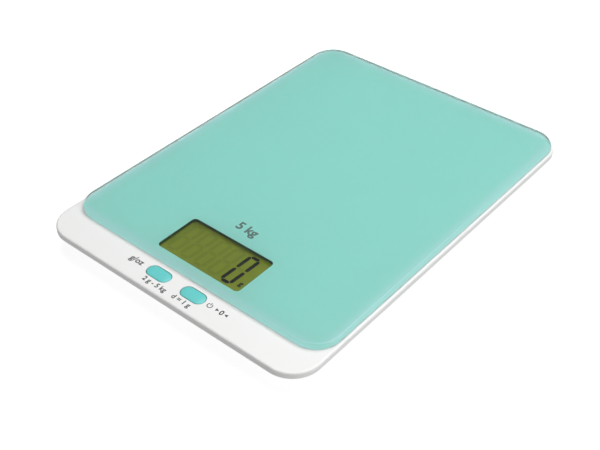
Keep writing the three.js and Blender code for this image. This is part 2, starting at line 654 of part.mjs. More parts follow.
const DISPLAY_FRONT_Y = WINDOW_Y - DISPLAY_DEPTH / 2;
const DISPLAY_BACK_Y = WINDOW_Y + DISPLAY_DEPTH / 2;
const DISPLAY_SPLIT_Z = DISPLAY_TOP_Z - DISPLAY_PLATE;
const frontPlate = box(
  -DISPLAY_WIDTH / 2, DISPLAY_WIDTH / 2, DISPLAY_FRONT_Y, DISPLAY_BACK_Y, DISPLAY_SPLIT_Z, DISPLAY_TOP_Z,
);
const rearPlate = box(
  -DISPLAY_WIDTH / 2, DISPLAY_WIDTH / 2, DISPLAY_FRONT_Y + DISPLAY_LEDGE, DISPLAY_BACK_Y,
  DISPLAY_BOTTOM_Z, DISPLAY_SPLIT_Z,
);
part("lcd_cell", carve(frontPlate, { joins: [rearPlate] }), displayGlass);

const ZEBRA_Y = DISPLAY_FRONT_Y + DISPLAY_LEDGE / 2;
part(
  "lcd_zebra_strip",
  box(
    -DISPLAY_WIDTH / 2 + ZEBRA_END, DISPLAY_WIDTH / 2 - ZEBRA_END,
    ZEBRA_Y - ZEBRA_WIDTH / 2, ZEBRA_Y + ZEBRA_WIDTH / 2, BOARD_TOP_Z, DISPLAY_SPLIT_Z,
  ),
  elastomer,
);

// ---- Circuit board ------------------------------------------------------------------------

const board = box(-BOARD_WIDTH / 2, BOARD_WIDTH / 2, BOARD_FRONT_Y, BOARD_BACK_Y, BOARD_Z, BOARD_TOP_Z);
const boardHoles = BOARD_SCREWS.map(([x, y]) => post(BOARD_SHANK_RADIUS + SCREW_GAP, 0, STRIP_Z, x, y));
part("circuit_board", carve(board, { cuts: boardHoles }), boardGreen);

const blob = turned([
  [0, 0],
  [BLOB_RADIUS, 0],
  [BLOB_RADIUS * 0.92, BLOB_HEIGHT * 0.45],
  [BLOB_RADIUS * 0.6, BLOB_HEIGHT * 0.85],
  [0, BLOB_HEIGHT],
]);
part("controller_blob", blob.rotateX(Math.PI).translate(BLOB_X, WINDOW_Y, BOARD_Z), epoxy);

// ---- Buttons and switches -----------------------------------------------------------------

for (const [name, x] of Object.entries(buttonXs)) {
  const switchTop = BOARD_TOP_Z + SWITCH_HEIGHT;
  const half = SWITCH_SIZE / 2;
  const well = post(
    PLUNGER_RADIUS + PLUNGER_GAP,
    switchTop - PLUNGER_IN_BODY - BUTTON_TRAVEL - PLUNGER_GAP, switchTop + PAST,
    x, BUTTON_Y, ROUND_SIDES,
  );
  const body = box(x - half, x + half, BUTTON_Y - half, BUTTON_Y + half, BOARD_TOP_Z, switchTop);
  part(`${name}_switch_body`, carve(body, { cuts: [well] }), steel);
  part(
    `${name}_switch_plunger`,
    post(PLUNGER_RADIUS, switchTop - PLUNGER_IN_BODY, FLANGE_Z, x, BUTTON_Y, ROUND_SIDES),
    blackPlastic,
  );
  const flange = pill(
    BUTTON_LENGTH + 2 * FLANGE_EXTRA_X, BUTTON_WIDTH + 2 * FLANGE_EXTRA_Y, FLANGE_Z, FLANGE_TOP_Z, x,
  );
  const key = loft(
    easedRings(
      BUTTON_LENGTH, BUTTON_WIDTH, BUTTON_WIDTH / 2, FLANGE_Z, STRIP_Z + BUTTON_PROUD,
      0, BUTTON_ROUND, x, BUTTON_Y,
    ),
  );
  part(`${name}_button_cap`, carve(key, { joins: [flange] }), mintKey);
}

// ---- Screws -------------------------------------------------------------------------------

// A cross-head screw that points up from z = 0 at the underside of its head.
function screw(headRadius, headThick, shankRadius, shankLength) {
  const base = turned(
    [
      [0, -headThick],
      [headRadius - HEAD_BEVEL, -headThick],
      [headRadius, -headThick + HEAD_BEVEL],
      [headRadius, 0],
      [shankRadius, 0],
      [shankRadius, shankLength - shankRadius],
      [0, shankLength],
    ],
    SCREW_SIDES,
  );
  const arm = headRadius * CROSS_ARM;
  const slot = headRadius * CROSS_SLOT;
  const depth = headThick / 2;
  return carve(base, {
    cuts: [
      box(-arm, arm, -slot, slot, -headThick - PAST, -headThick + depth),
      box(-slot, slot, -arm, arm, -headThick - PAST, -headThick + depth),
    ],
  });
}

SHELL_SCREWS.forEach(([x, y], i) => {
  const length = PILOT_TOP_Z - SCREW_TIP_GAP - SHELL_SCREW_SEAT_Z;
  const mesh = part(
    `shell_screw_${i + 1}`, screw(SHELL_HEAD_RADIUS, SHELL_HEAD_THICK, SHELL_SHANK_RADIUS, length), steel,
  );
  mesh.position.set(x, y, SHELL_SCREW_SEAT_Z);
});

BOARD_SCREWS.forEach(([x, y], i) => {
  const length = PILOT_TOP_Z - SCREW_TIP_GAP - BOARD_Z;
  const mesh = part(
    `board_screw_${i + 1}`, screw(BOARD_HEAD_RADIUS, BOARD_HEAD_THICK, BOARD_SHANK_RADIUS, length), steel,
  );
  mesh.position.set(x, y, BOARD_Z);
});

// ---- Wires --------------------------------------------------------------------------------

// A sleeved wire: a tube of the given radius through the points.
function wire(points, radius, steps) {
  const path = new THREE.CatmullRomCurve3(points.map(([x, y, z]) => new THREE.Vector3(x, y, z)));
  const section = new THREE.Shape();
  section.absarc(0, 0, radius, 0, 2 * Math.PI, false);
  return new THREE.ExtrudeGeometry(section, {
    steps,
    curveSegments: WIRE_SIDES / 2,
    bevelEnabled: false,
    extrudePath: path,
  });
}

// ---- Feet and load cells ------------------------------------------------------------------

function loadCell() {
  const plate = slab(CELL_LENGTH, CELL_WIDTH, CELL_CORNER, 0, CELL_THICK, 0, 0);
  const slotY = TONGUE_WIDTH / 2;
  const tip = -TONGUE_LENGTH / 2;
  const root = TONGUE_LENGTH / 2 - TONGUE_ROOT;
  const cuts = [
    box(tip - CELL_SLOT, root, slotY, slotY + CELL_SLOT, -PAST, CELL_THICK + PAST),
    box(tip - CELL_SLOT, root, -slotY - CELL_SLOT, -slotY, -PAST, CELL_THICK + PAST),
    box(tip - CELL_SLOT, tip, -slotY - FUSE, slotY + FUSE, -PAST, CELL_THICK + PAST),
    post(FOOT_SHANK_RADIUS + SCREW_GAP, -PAST, CELL_THICK + PAST),
  ];
  return carve(plate, { cuts });
}

function footBody() {
  const pilot = FOOT_SHANK_RADIUS + SCREW_GAP;
  return turned([
    [0, PAD_THICK],
    [FOOT_RADIUS - EDGE_ROUND, PAD_THICK],
    [FOOT_RADIUS, PAD_THICK + EDGE_ROUND],
    [FOOT_RADIUS, FOOT_TOP_Z],
    [STEM_RADIUS, FOOT_TOP_Z],
    [STEM_RADIUS, CELL_Z],
    [pilot, CELL_Z],
    [pilot, FOOT_TOP_Z + FOOT_PILOT_FLOOR],
    [0, FOOT_TOP_Z + FOOT_PILOT_FLOOR],
  ]);
}

function footPad() {
  return turned([
    [0, 0],
    [PAD_RADIUS - EDGE_ROUND, 0],
    [PAD_RADIUS, EDGE_ROUND],
    [PAD_RADIUS, PAD_THICK],
    [0, PAD_THICK],
  ]);
}

// Where each load cell's wires run to the board, from the gauge's end.
function wireRoute(sx, sy, start) {
  if (sy < 0) {
    const edge = BOARD_WIDTH / 2 + FACE_GAP;
    return [
      start,
      [sx * (edge + WIRE_STRAIGHT), start[1] + WIRE_SIDESTEP / 2, start[2]],
      [sx * edge, start[1] + WIRE_SIDESTEP, BOARD_TOP_Z - WIRE_DROP],
    ];
  }
  const bendX = BAY_WIDTH / 2 + WIRE_FROM_BAY;
  const endX = BOARD_WIDTH / 2 - WIRE_FROM_BOARD_SIDE;
  const endZ = BOARD_TOP_Z - WIRE_DROP;
  return [
    start,
    [start[0] - sx * WIRE_STRAIGHT, start[1] - 1, start[2]],
    [sx * bendX, start[1] - 3 * WIRE_STRAIGHT, start[2]],
    [sx * bendX, BAY_Y + BAY_DEPTH / 2, start[2]],
    [sx * (endX + 2), BAY_FRONT_Y, start[2]],
    [sx * endX, BOARD_BACK_Y + WIRE_STRAIGHT, endZ],
    [sx * endX, BOARD_BACK_Y + FACE_GAP, endZ],
  ];
}

for (const [corner, [sx, sy]] of Object.entries(CORNERS)) {
  const foot = new THREE.Group();
  foot.position.set(sx * FOOT_X, sy * FOOT_Y, 0);
  scale.add(foot);

  part(`foot_${corner}`, footBody(), whitePlastic, foot);
  part(`foot_pad_${corner}`, footPad(), rubber, foot);

  const cell = part(`load_cell_${corner}`, loadCell(), steel, foot);
  cell.position.z = CELL_Z;
  cell.rotation.z = sx > 0 ? 0 : Math.PI;

  const seal = part(
    `gauge_seal_${corner}`,
    loft(easedRings(SEAL_LENGTH, SEAL_WIDTH, SEAL_CORNER, 0, SEAL_HEIGHT, 0, SEAL_ROUND, 0, 0, 3)),
    sealant,
    foot,
  );
  seal.position.set(0, -sy * BEAM_Y, CELL_TOP_Z);

  const shank = CELL_TOP_Z - FOOT_TOP_Z - FOOT_PILOT_FLOOR - SCREW_TIP_GAP;
  const fixing = part(
    `foot_screw_${corner}`, screw(FOOT_HEAD_RADIUS, FOOT_HEAD_THICK, FOOT_SHANK_RADIUS, shank), steel, foot,
  );
  fixing.position.z = CELL_TOP_Z;
  fixing.rotation.x = Math.PI;

  const startX = sx * (FOOT_X - SEAL_LENGTH / 2 - FACE_GAP);
  const startY = sy * (FOOT_Y - BEAM_Y);
  const start = [startX, startY, CELL_TOP_Z + WIRE_RADIUS + WIRE_LIFT];
  const steps = sy < 0 ? SHORT_WIRE_STEPS : LONG_WIRE_STEPS;
  part(`cell_wires_${corner}`, wire(wireRoute(sx, sy, start), WIRE_RADIUS, steps), wireSleeve);
}

// ---- Battery ------------------------------------------------------------------------------

const coin = turned([
  [0, 0],
  [COIN_RADIUS - EDGE_ROUND, 0],
  [COIN_RADIUS, EDGE_ROUND],
  [COIN_RADIUS, COIN_THICK - COIN_CRIMP],
  [COIN_RADIUS - COIN_STEP, COIN_THICK - COIN_CRIMP / 2],
  [COIN_RADIUS - COIN_STEP, COIN_THICK],
  [0, COIN_THICK],
]);
part("coin_cell", coin, steel).position.set(0, COIN_Y, COIN_Z);

const tailY = BAY_FRONT_Y - CONTACT_TAIL;
const minusZ = COIN_TOP_Z + COIN_TO_CONTACT;
part(
  "battery_minus_contact",
  box(-CONTACT_WIDTH / 2, CONTACT_WIDTH / 2, tailY, COIN_Y, minusZ, minusZ + CONTACT_THICK),
  steel,
);

const plusLeaf = box(
  PLUS_X, PLUS_X + CONTACT_THICK, COIN_Y - CONTACT_WIDTH / 2, COIN_Y + CONTACT_WIDTH / 2,
  PLUS_LEAF_Z, PLUS_TOP_Z,
);
const plusTail = box(
  PLUS_X, PLUS_X + CONTACT_THICK, tailY, COIN_Y - CONTACT_WIDTH / 2 + FUSE, PLUS_TAIL_Z, PLUS_TOP_Z,
);
part("battery_plus_contact", carve(plusLeaf, { joins: [plusTail] }), steel);

function batteryLead(x, z) {
  const end = BOARD_BACK_Y + FACE_GAP;
  const points = [
    [x, tailY - FACE_GAP, z],
    [x, (tailY + end) / 2, (z + BOARD_TOP_Z) / 2],
    [x, end, BOARD_TOP_Z - WIRE_DROP],
  ];
  return wire(points, LEAD_RADIUS, SHORT_WIRE_STEPS);
}
part("battery_minus_wire", batteryLead(0, minusZ), blackSleeve);
part("battery_plus_wire", batteryLead(PLUS_X, minusZ), redSleeve);

// The door, built about the middle of its outer face.
function batteryDoor() {
  const back = DOOR_DEPTH / 2;
  const front = -DOOR_DEPTH / 2;
  const plate = slab(DOOR_WIDTH, DOOR_DEPTH, DOOR_CORNER, 0, DOOR_THICK, 0, 0);
  const tabBottom = PAN_WALL + FUSE;
  const tabs = [-1, 1].flatMap((side) => {
    const x0 = (side * TAB_SPACING) / 2 - TAB_WIDTH / 2;
    const x1 = x0 + TAB_WIDTH;
    return [
      box(x0, x1, back - TAB_ROOT, back, DOOR_THICK - FUSE, DOOR_THICK + TAB_HEIGHT),
      box(x0, x1, back - TAB_ROOT, back + DOOR_GAP + TAB_REACH, tabBottom, DOOR_THICK + TAB_HEIGHT),
    ];
  });
  const half = LATCH_WIDTH / 2;
  const outer = front + LATCH_SET_BACK;
  const loopTop = DOOR_THICK + LATCH_HEIGHT;
  const latch = [
    box(-half, half, outer + LATCH_LOOP - LATCH_LEAF, outer + LATCH_LOOP, DOOR_THICK - FUSE, loopTop),
    box(-half, half, outer, outer + LATCH_LOOP, loopTop - LATCH_LEAF, loopTop),
    box(-half, half, outer, outer + LATCH_LEAF, LATCH_RISE, loopTop),
    box(-half, half, outer - LATCH_NIB, outer + FUSE, NIB_Z, NIB_Z + NIB_HEIGHT),
  ];
  const notchBack = outer + LATCH_LOOP - LATCH_LEAF;
  const notchHalf = half + LATCH_SIDE_GAP;
  const notch = box(-notchHalf, notchHalf, front - PAST, notchBack, -PAST, DOOR_THICK + PAST);
  const grip = [-1, 0, 1].map((i) => {
    const y = i * GRIP_PITCH;
    return box(-GRIP_HALF, GRIP_HALF, y - GRIP_WIDTH / 2, y + GRIP_WIDTH / 2, -PAST, GRIP_DEPTH);
  });
  const cutPlate = carve(plate, { cuts: [notch, ...grip] });
  return carve(cutPlate, { joins: [...tabs, ...latch] });
}
part("battery_door", batteryDoor(), whitePlastic).position.set(0, BAY_Y, FLOOR_Z);

export default scale;
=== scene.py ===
# %% [markdown]
# # A slim glass kitchen scale
# The scale is a flat white body, a sheet of tempered glass printed mint green on its underside, a small
# reflective display behind a clear window in that print, and two soft-touch buttons on the strip in front.
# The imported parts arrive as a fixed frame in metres. This lesson dresses them: it gives every part a
# finish made of nodes, and adds the few pieces whose beauty lies in detail too fine for the frame.

# %% Load the frame and measure it
import json
import math

import bmesh
import bpy
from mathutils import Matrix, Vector


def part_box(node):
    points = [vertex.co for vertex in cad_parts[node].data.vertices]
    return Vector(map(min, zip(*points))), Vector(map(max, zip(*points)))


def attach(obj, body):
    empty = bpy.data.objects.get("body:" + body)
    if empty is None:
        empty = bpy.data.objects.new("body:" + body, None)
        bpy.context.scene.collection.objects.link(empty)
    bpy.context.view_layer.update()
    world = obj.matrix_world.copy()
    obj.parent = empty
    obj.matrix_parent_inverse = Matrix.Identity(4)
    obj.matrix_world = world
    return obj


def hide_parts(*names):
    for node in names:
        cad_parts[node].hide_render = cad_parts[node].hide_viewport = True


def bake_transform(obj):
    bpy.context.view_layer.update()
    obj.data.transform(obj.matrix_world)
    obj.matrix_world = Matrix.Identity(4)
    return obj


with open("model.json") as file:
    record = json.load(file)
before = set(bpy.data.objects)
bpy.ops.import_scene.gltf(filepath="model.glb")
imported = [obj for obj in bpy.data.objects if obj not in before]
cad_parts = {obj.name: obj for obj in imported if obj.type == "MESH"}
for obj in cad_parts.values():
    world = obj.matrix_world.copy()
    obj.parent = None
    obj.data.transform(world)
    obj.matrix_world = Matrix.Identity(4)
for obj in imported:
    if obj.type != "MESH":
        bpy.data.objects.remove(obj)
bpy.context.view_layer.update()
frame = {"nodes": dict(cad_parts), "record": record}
MM = 0.001


def middle(node):
    """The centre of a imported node's box."""
    low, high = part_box(node)
    return (low + high) / 2


def span(node):
    """The width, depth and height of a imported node's box."""
    low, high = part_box(node)
    return high - low


# %% [markdown]
# ## The camera
# The scale is looked at from the front and a little to one side through a moderately long lens, which
# keeps the far corner from shrinking. The camera is placed by its own point and by the direction it looks
# in, because that pins the perspective exactly; a Track To constraint would need a target object as well.


# %% Helpers that add and aim objects
def add_object(name, data):
    """A new object in the scene that holds a camera, a lamp, a mesh or a curve."""
    thing = bpy.data.objects.new(name, data)
    bpy.context.scene.collection.objects.link(thing)
    return thing


def aim(thing, direction):
    """Turns a camera or a lamp to look in a direction."""
    thing.rotation_mode = "QUATERNION"
    thing.rotation_quaternion = direction.to_track_quat("-Z", "Y")


# %% Place the camera
CAMERA_AT = Vector((0.22943, -0.28580, 0.29179))
CAMERA_LOOKS = Vector((-0.49410, 0.59010, -0.63847))
LENS_LENGTH = 60.35
SENSOR_WIDTH = 36.0
NEAREST_SEEN = 0.01
FARTHEST_SEEN = 20.0

camera_data = bpy.data.cameras.new("camera")
camera_data.lens = LENS_LENGTH
camera_data.sensor_width = SENSOR_WIDTH
camera_data.clip_start = NEAREST_SEEN
camera_data.clip_end = FARTHEST_SEEN
camera = add_object("camera", camera_data)
camera.location = CAMERA_AT
aim(camera, CAMERA_LOOKS)
bpy.context.scene.camera = camera
print("camera looks down at", round(math.degrees(math.asin(-CAMERA_LOOKS.normalized().z)), 1), "degrees")

# %% [markdown]
# ## Floor and light
# White goods look best on a pale sweep under one broad softbox above and behind, so that tops are bright,
# front walls fall to grey and rounded edges catch a thin white line. Area lights give those soft edges; a
# sun lamp would cut hard shadows. The world is a plain pale sky that fills the rest. The floor lets
# anything beneath it through from its back, so the underside can be looked at too, and throws an even
# glow at everything but the camera, as a lit sweep does: that is what greys the walls so evenly.


# %% Helpers for nodes
def set_inputs(node, values):
    """Fills in a node's inputs, each named with its label."""
    for label, value in values.items():
        node.inputs[label].default_value = value


def add_node(tree, kind, inputs=None, **settings):
    """A node with some of its settings and inputs filled in."""
    node = tree.nodes.new(kind)
    for key, value in settings.items():
        setattr(node, key, value)
    set_inputs(node, inputs or {})
    return node


def new_look(name):
    """A material made of nodes; gives it, its tree and its Principled shader."""
    look = bpy.data.materials.new(name)
    look.use_nodes = True
    return look, look.node_tree, look.node_tree.nodes["Principled BSDF"]


# %% Build the floor
FLOOR_HALF = 3.0
FLOOR_SEEN_GLOW = 0.82
FLOOR_CAST_GLOW = 0.68
FLOOR_GREY = (0.35, 0.35, 0.35, 1)
WHITE = (1, 1, 1, 1)

floor_corners = [(sx * FLOOR_HALF, sy * FLOOR_HALF, 0) for sx, sy in ((-1, -1), (1, -1), (1, 1), (-1, 1))]
floor_mesh = bpy.data.meshes.new("floor")
floor_mesh.from_pydata(floor_corners, [], [(0, 1, 2, 3)])
add_object("floor", floor_mesh)

floor_look, floor_tree, floor_shader = new_look("pale_floor")
set_inputs(floor_shader, {"Base Color": FLOOR_GREY, "Roughness": 0.9, "Specular IOR Level": 0.1})
set_inputs(floor_shader, {"Emission Color": WHITE, "Emission Strength": FLOOR_SEEN_GLOW})
floor_rays = add_node(floor_tree, "ShaderNodeLightPath")
floor_cast = add_node(floor_tree, "ShaderNodeEmission", {"Strength": FLOOR_CAST_GLOW})
floor_top = add_node(floor_tree, "ShaderNodeMixShader")
floor_side = add_node(floor_tree, "ShaderNodeNewGeometry")
floor_clear = add_node(floor_tree, "ShaderNodeBsdfTransparent")
floor_both = add_node(floor_tree, "ShaderNodeMixShader")
for source, target in (
    (floor_rays.outputs["Is Camera Ray"], floor_top.inputs[0]),
    (floor_cast.outputs[0], floor_top.inputs[1]),
    (floor_shader.outputs[0], floor_top.inputs[2]),
    (floor_side.outputs["Backfacing"], floor_both.inputs[0]),
    (floor_top.outputs[0], floor_both.inputs[1]),
    (floor_clear.outputs[0], floor_both.inputs[2]),
    (floor_both.outputs[0], floor_tree.nodes["Material Output"].inputs["Surface"]),
):
    floor_tree.links.new(source, target)
floor_mesh.materials.append(floor_look)
print("floor:", 2 * FLOOR_HALF, "metres wide")

# %% Hang the lamps and the sky
LAMPS_FACE = Vector((0, 0, 0))
SKY_STRENGTH = 0.2


def softbox(name, place, width, depth, watts):
    """A rectangular area light at a place, turned to face the scale."""
    lamp = bpy.data.lights.new(name, "AREA")
    lamp.shape = "RECTANGLE"
    lamp.size = width
    lamp.size_y = depth
    lamp.energy = watts
    holder = add_object(name, lamp)
    holder.location = place
    aim(holder, LAMPS_FACE - Vector(place))


softbox("overhead_box", place=(0.12, 0.3, 1.1), width=1.3, depth=1.1, watts=15.1)
softbox("right_box", place=(1.1, -0.1, 0.55), width=0.7, depth=0.6, watts=3.6)

sky = bpy.data.worlds.new("pale_sky")
sky.use_nodes = True
set_inputs(sky.node_tree.nodes["Background"], {"Color": WHITE, "Strength": SKY_STRENGTH})
bpy.context.scene.world = sky
bpy.context.scene.view_settings.view_transform = "Standard"

# %% [markdown]
# ## Shader groups
# Moulded plastic, rubber, ink and metal all differ a little from place to place: a spark-eroded grain, a
# faint blotch of colour, a patch that fingers have polished. Each of those effects is a node group with
# named sockets, built once and placed in every material that needs it with its own numbers. Building the
# same nodes in each material would work as well, but a change would then have to be made many times.


# %% A helper that starts a node group
def start_group(name, inputs, outputs):
    """A new shader node group with float or colour inputs and outputs, and its two end nodes."""
    group = bpy.data.node_groups.new(name, "ShaderNodeTree")
    for label, value in inputs.items():
        kind = "NodeSocketColor" if isinstance(value, tuple) else "NodeSocketFloat"
        socket = group.interface.new_socket(name=label, in_out="INPUT", socket_type=kind)
        socket.default_value = value
    for label, kind in outputs.items():
        group.interface.new_socket(name=label, in_out="OUTPUT", socket_type=kind)
    return group, group.nodes.new("NodeGroupInput"), group.nodes.new("NodeGroupOutput")


def math_node(tree, operation, first, second):
    """A Math node whose two inputs are sockets or numbers; gives its output socket."""
    node = tree.nodes.new("ShaderNodeMath")
    node.operation = operation
    for slot, value in enumerate((first, second)):
        if isinstance(value, (int, float)):
            node.inputs[slot].default_value = value
        else:
            tree.links.new(value, node.inputs[slot])
    return node.outputs[0]


# %% [markdown]
# ### Mottle: slow drift of colour and gloss
# Even a plain moulding is never one flat value. The mottle group multiplies a colour by a slow noise and
# moves the roughness with a second one, both in the part's own space, so a pattern stays put on the part.

# %% Build the mottle group
MM_PER_METRE = 1000.0
GLOSS_SHIFT = 7.3  # how far the gloss reads the noise from where the colour does

mottle, mottle_in, mottle_out = start_group(
    "mottle",
    {
        "Color": (0.8, 0.8, 0.8, 1), "Color Spread": 0.04,
        "Roughness": 0.4, "Roughness Spread": 0.06, "Patch Size mm": 12.0,
    },
    {"Color": "NodeSocketColor", "Roughness": "NodeSocketFloat"},
)
mottle_place = add_node(mottle, "ShaderNodeTexCoord")
mottle_scale = math_node(mottle, "DIVIDE", MM_PER_METRE, mottle_in.outputs["Patch Size mm"])
drifts = {}
for label, shift in (("Color", 0.0), ("Roughness", GLOSS_SHIFT)):
    blotch = add_node(mottle, "ShaderNodeTexNoise", {"Detail": 3.0}, noise_dimensions="4D")
    blotch.inputs["W"].default_value = shift
    mottle.links.new(mottle_place.outputs["Object"], blotch.inputs["Vector"])
    mottle.links.new(mottle_scale, blotch.inputs["Scale"])
    centred = math_node(mottle, "SUBTRACT", blotch.outputs[0], 0.5)
    drifts[label] = math_node(mottle, "MULTIPLY", centred, mottle_in.outputs[label + " Spread"])
tint = add_node(mottle, "ShaderNodeVectorMath", operation="SCALE")
mottle.links.new(mottle_in.outputs["Color"], tint.inputs[0])
mottle.links.new(math_node(mottle, "ADD", drifts["Color"], 1.0), tint.inputs["Scale"])
mottle.links.new(tint.outputs[0], mottle_out.inputs["Color"])
drifted_gloss = math_node(mottle, "ADD", drifts["Roughness"], mottle_in.outputs["Roughness"])
mottle.links.new(drifted_gloss, mottle_out.inputs["Roughness"])
print("mottle group:", len(mottle.nodes), "nodes")

# %% [markdown]
# ### Grain: the texture of the mould
# Steel moulds are spark eroded or sand blasted, which leaves a fine pebbled skin on the plastic. A noise
# of a few tenths of a millimetre gives the pebbles, and a finer one breaks them up. The group gives a
# height, and each material turns it into a normal with a Bump node of its own.

# %% Build the grain group
SPECKS_PER_PEBBLE = 2.7

grain, grain_in, grain_out = start_group(
    "mould_grain", {"Grain Size mm": 0.35, "Fine Share": 0.35}, {"Height": "NodeSocketFloat"}
)
grain_place = add_node(grain, "ShaderNodeTexCoord")
pebble_scale = math_node(grain, "DIVIDE", MM_PER_METRE, grain_in.outputs["Grain Size mm"])
speck_scale = math_node(grain, "MULTIPLY", pebble_scale, SPECKS_PER_PEBBLE)
pebbles = add_node(grain, "ShaderNodeTexNoise", {"Detail": 1.0})
specks = add_node(grain, "ShaderNodeTexNoise", {"Detail": 2.0})
for texture, scale in ((pebbles, pebble_scale), (specks, speck_scale)):
    grain.links.new(grain_place.outputs["Object"], texture.inputs["Vector"])
    grain.links.new(scale, texture.inputs["Scale"])
speck_height = math_node(grain, "MULTIPLY", specks.outputs[0], grain_in.outputs["Fine Share"])
grain.links.new(math_node(grain, "ADD", pebbles.outputs[0], speck_height), grain_out.inputs["Height"])
print("grain group:", len(grain.nodes), "nodes")

# %% [markdown]
# ### Brushing: the lines of rolled or ground metal
# Sheet steel carries fine parallel lines from the rolls. A wave texture would draw them too evenly, and a
# noise that is stretched along one axis draws them as they are. The group gives a height for the lines and
# a roughness that follows them.

# %% Build the brushing group
brushing, brushing_in, brushing_out = start_group(
    "brushing",
    {"Line Width mm": 0.12, "Stretch": 14.0, "Roughness": 0.3, "Roughness Spread": 0.18},
    {"Height": "NodeSocketFloat", "Roughness": "NodeSocketFloat"},
)
brushing_place = add_node(brushing, "ShaderNodeTexCoord")
apart = add_node(brushing, "ShaderNodeSeparateXYZ")
together = add_node(brushing, "ShaderNodeCombineXYZ")
brushing.links.new(brushing_place.outputs["Object"], apart.inputs[0])
stretched = math_node(brushing, "DIVIDE", apart.outputs["X"], brushing_in.outputs["Stretch"])
for source, axis in ((stretched, "X"), (apart.outputs["Y"], "Y"), (apart.outputs["Z"], "Z")):
    brushing.links.new(source, together.inputs[axis])
streaks = add_node(brushing, "ShaderNodeTexNoise", {"Detail": 3.0})
streak_scale = math_node(brushing, "DIVIDE", MM_PER_METRE, brushing_in.outputs["Line Width mm"])
brushing.links.new(together.outputs[0], streaks.inputs["Vector"])
brushing.links.new(streak_scale, streaks.inputs["Scale"])
centred = math_node(brushing, "SUBTRACT", streaks.outputs[0], 0.5)
streak_drift = math_node(brushing, "MULTIPLY", centred, brushing_in.outputs["Roughness Spread"])
streak_gloss = math_node(brushing, "ADD", streak_drift, brushing_in.outputs["Roughness"])
brushing.links.new(streaks.outputs[0], brushing_out.inputs["Height"])
brushing.links.new(streak_gloss, brushing_out.inputs["Roughness"])
print("brushing group:", len(brushing.nodes), "nodes")


# %% [markdown]
# ## Finishes
# A moulded part or a steel pressing is one material through and through, so its look is all in its skin.
# Each finish is a Principled BSDF fed by those groups, because the same shader then serves plastic, rubber
# and metal. Colours are given as linear red, green and blue. Values that are the same all over, such as
# the index of refraction, are set on the shader itself.

# %% Helpers for opaque finishes
finishes = {}


def linear(red, green, blue):
    """A display colour from 0 to 255 as the linear colour that Blender's sockets take."""
    parts = []
    for part in (red, green, blue):
        part = part / 255
        parts.append(part / 12.92 if part <= 0.04045 else ((part + 0.055) / 1.055) ** 2.4)
    return (*parts, 1.0)


def place_group(tree, group, **numbers):
    """A group placed in a material, with its inputs named by words joined with underscores."""
    node = tree.nodes.new("ShaderNodeGroup")
    node.node_tree = group
    labels = {label.lower().replace(" ", "_"): label for label in node.inputs.keys()}
    for key, value in numbers.items():
        node.inputs[labels[key]].default_value = value
    return node


def bump_from(tree, height, depth_mm, shader):
    """A Bump node between a height socket and a shader's normal."""
    bump = add_node(tree, "ShaderNodeBump", {"Strength": 1.0, "Distance": depth_mm * MM})
    tree.links.new(height, bump.inputs["Height"])
    tree.links.new(bump.outputs[0], shader.inputs["Normal"])


def plastic(
    name, colour, roughness, grain_mm=0.35, depth_mm=0.004, colour_spread=0.03, gloss_spread=0.08, **plain
):
    """A moulded finish: mottled colour and gloss, and a grain. Further words set the shader's own sockets."""
    look, tree, shader = new_look(name)
    patches = place_group(tree, mottle, color=colour, color_spread=colour_spread)
    set_inputs(patches, {"Roughness": roughness, "Roughness Spread": gloss_spread})
    tree.links.new(patches.outputs["Color"], shader.inputs["Base Color"])
    tree.links.new(patches.outputs["Roughness"], shader.inputs["Roughness"])
    skin = place_group(tree, grain, grain_size_mm=grain_mm)
    bump_from(tree, skin.outputs["Height"], depth_mm, shader)
    set_inputs(shader, {label.replace("_", " "): value for label, value in plain.items()})
    finishes[name] = look
    return look


def metal(name, colour, roughness, line_mm=0.12, stretch=14.0, depth_mm=0.002):
    """A bare or plated metal with fine lines."""
    look, tree, shader = new_look(name)
    shader.inputs["Metallic"].default_value = 1.0
    patches = place_group(tree, mottle, color=colour, color_spread=0.08, patch_size_mm=4.0)
    tree.links.new(patches.outputs["Color"], shader.inputs["Base Color"])
    lines = place_group(tree, brushing, line_width_mm=line_mm, stretch=stretch, roughness=roughness)
    tree.links.new(lines.outputs["Roughness"], shader.inputs["Roughness"])
    bump_from(tree, lines.outputs["Height"], depth_mm, shader)
    finishes[name] = look


# %% [markdown]
# ### Plastics, rubber and metals
# The body is a satin white; the buttons are a mint soft-touch plastic with a slightly glossier skin; the
# feet stand on grey rubber. Inside there are black mouldings, white sealant and several kinds of steel.
# One flat colour each would do from afar, but grain and drift are what tell them apart close up, so each
# takes the same groups with its own grain size, depth and spread.

# %% Make the plain finishes
WHITE_PLASTIC = linear(233, 233, 232)
MINT_PLASTIC = linear(98, 200, 197)

plastic("white_plastic", WHITE_PLASTIC, 0.36, grain_mm=0.5, depth_mm=0.003, colour_spread=0.015)
plastic(
    "mint_key_plastic", MINT_PLASTIC, 0.34, grain_mm=0.3, depth_mm=0.003, Coat_Weight=0.25, Coat_Roughness=0.2
)
# painted green cast: the black mouldings take a dark green that stands in for the greenish light in the
# display's recess
plastic("black_plastic", linear(36, 84, 32), 0.6, grain_mm=0.3, depth_mm=0.006)
plastic("pad_rubber", linear(140, 144, 142), 0.85, grain_mm=0.6, depth_mm=0.02, colour_spread=0.1)
plastic("elastomer", linear(216, 184, 176), 0.6, grain_mm=0.2, depth_mm=0.004)
plastic("sealant", linear(243, 243, 238), 0.45, grain_mm=1.6, depth_mm=0.08, colour_spread=0.05)
plastic("adhesive", linear(228, 226, 220), 0.95, grain_mm=0.25, depth_mm=0.05, colour_spread=0.1)
plastic("black_epoxy", linear(16, 16, 16), 0.2, grain_mm=2.5, depth_mm=0.05)
plastic("grey_sleeve", linear(196, 196, 196), 0.45, grain_mm=0.5, depth_mm=0.01)
plastic("black_sleeve", linear(24, 24, 24), 0.45, grain_mm=0.5, depth_mm=0.01)
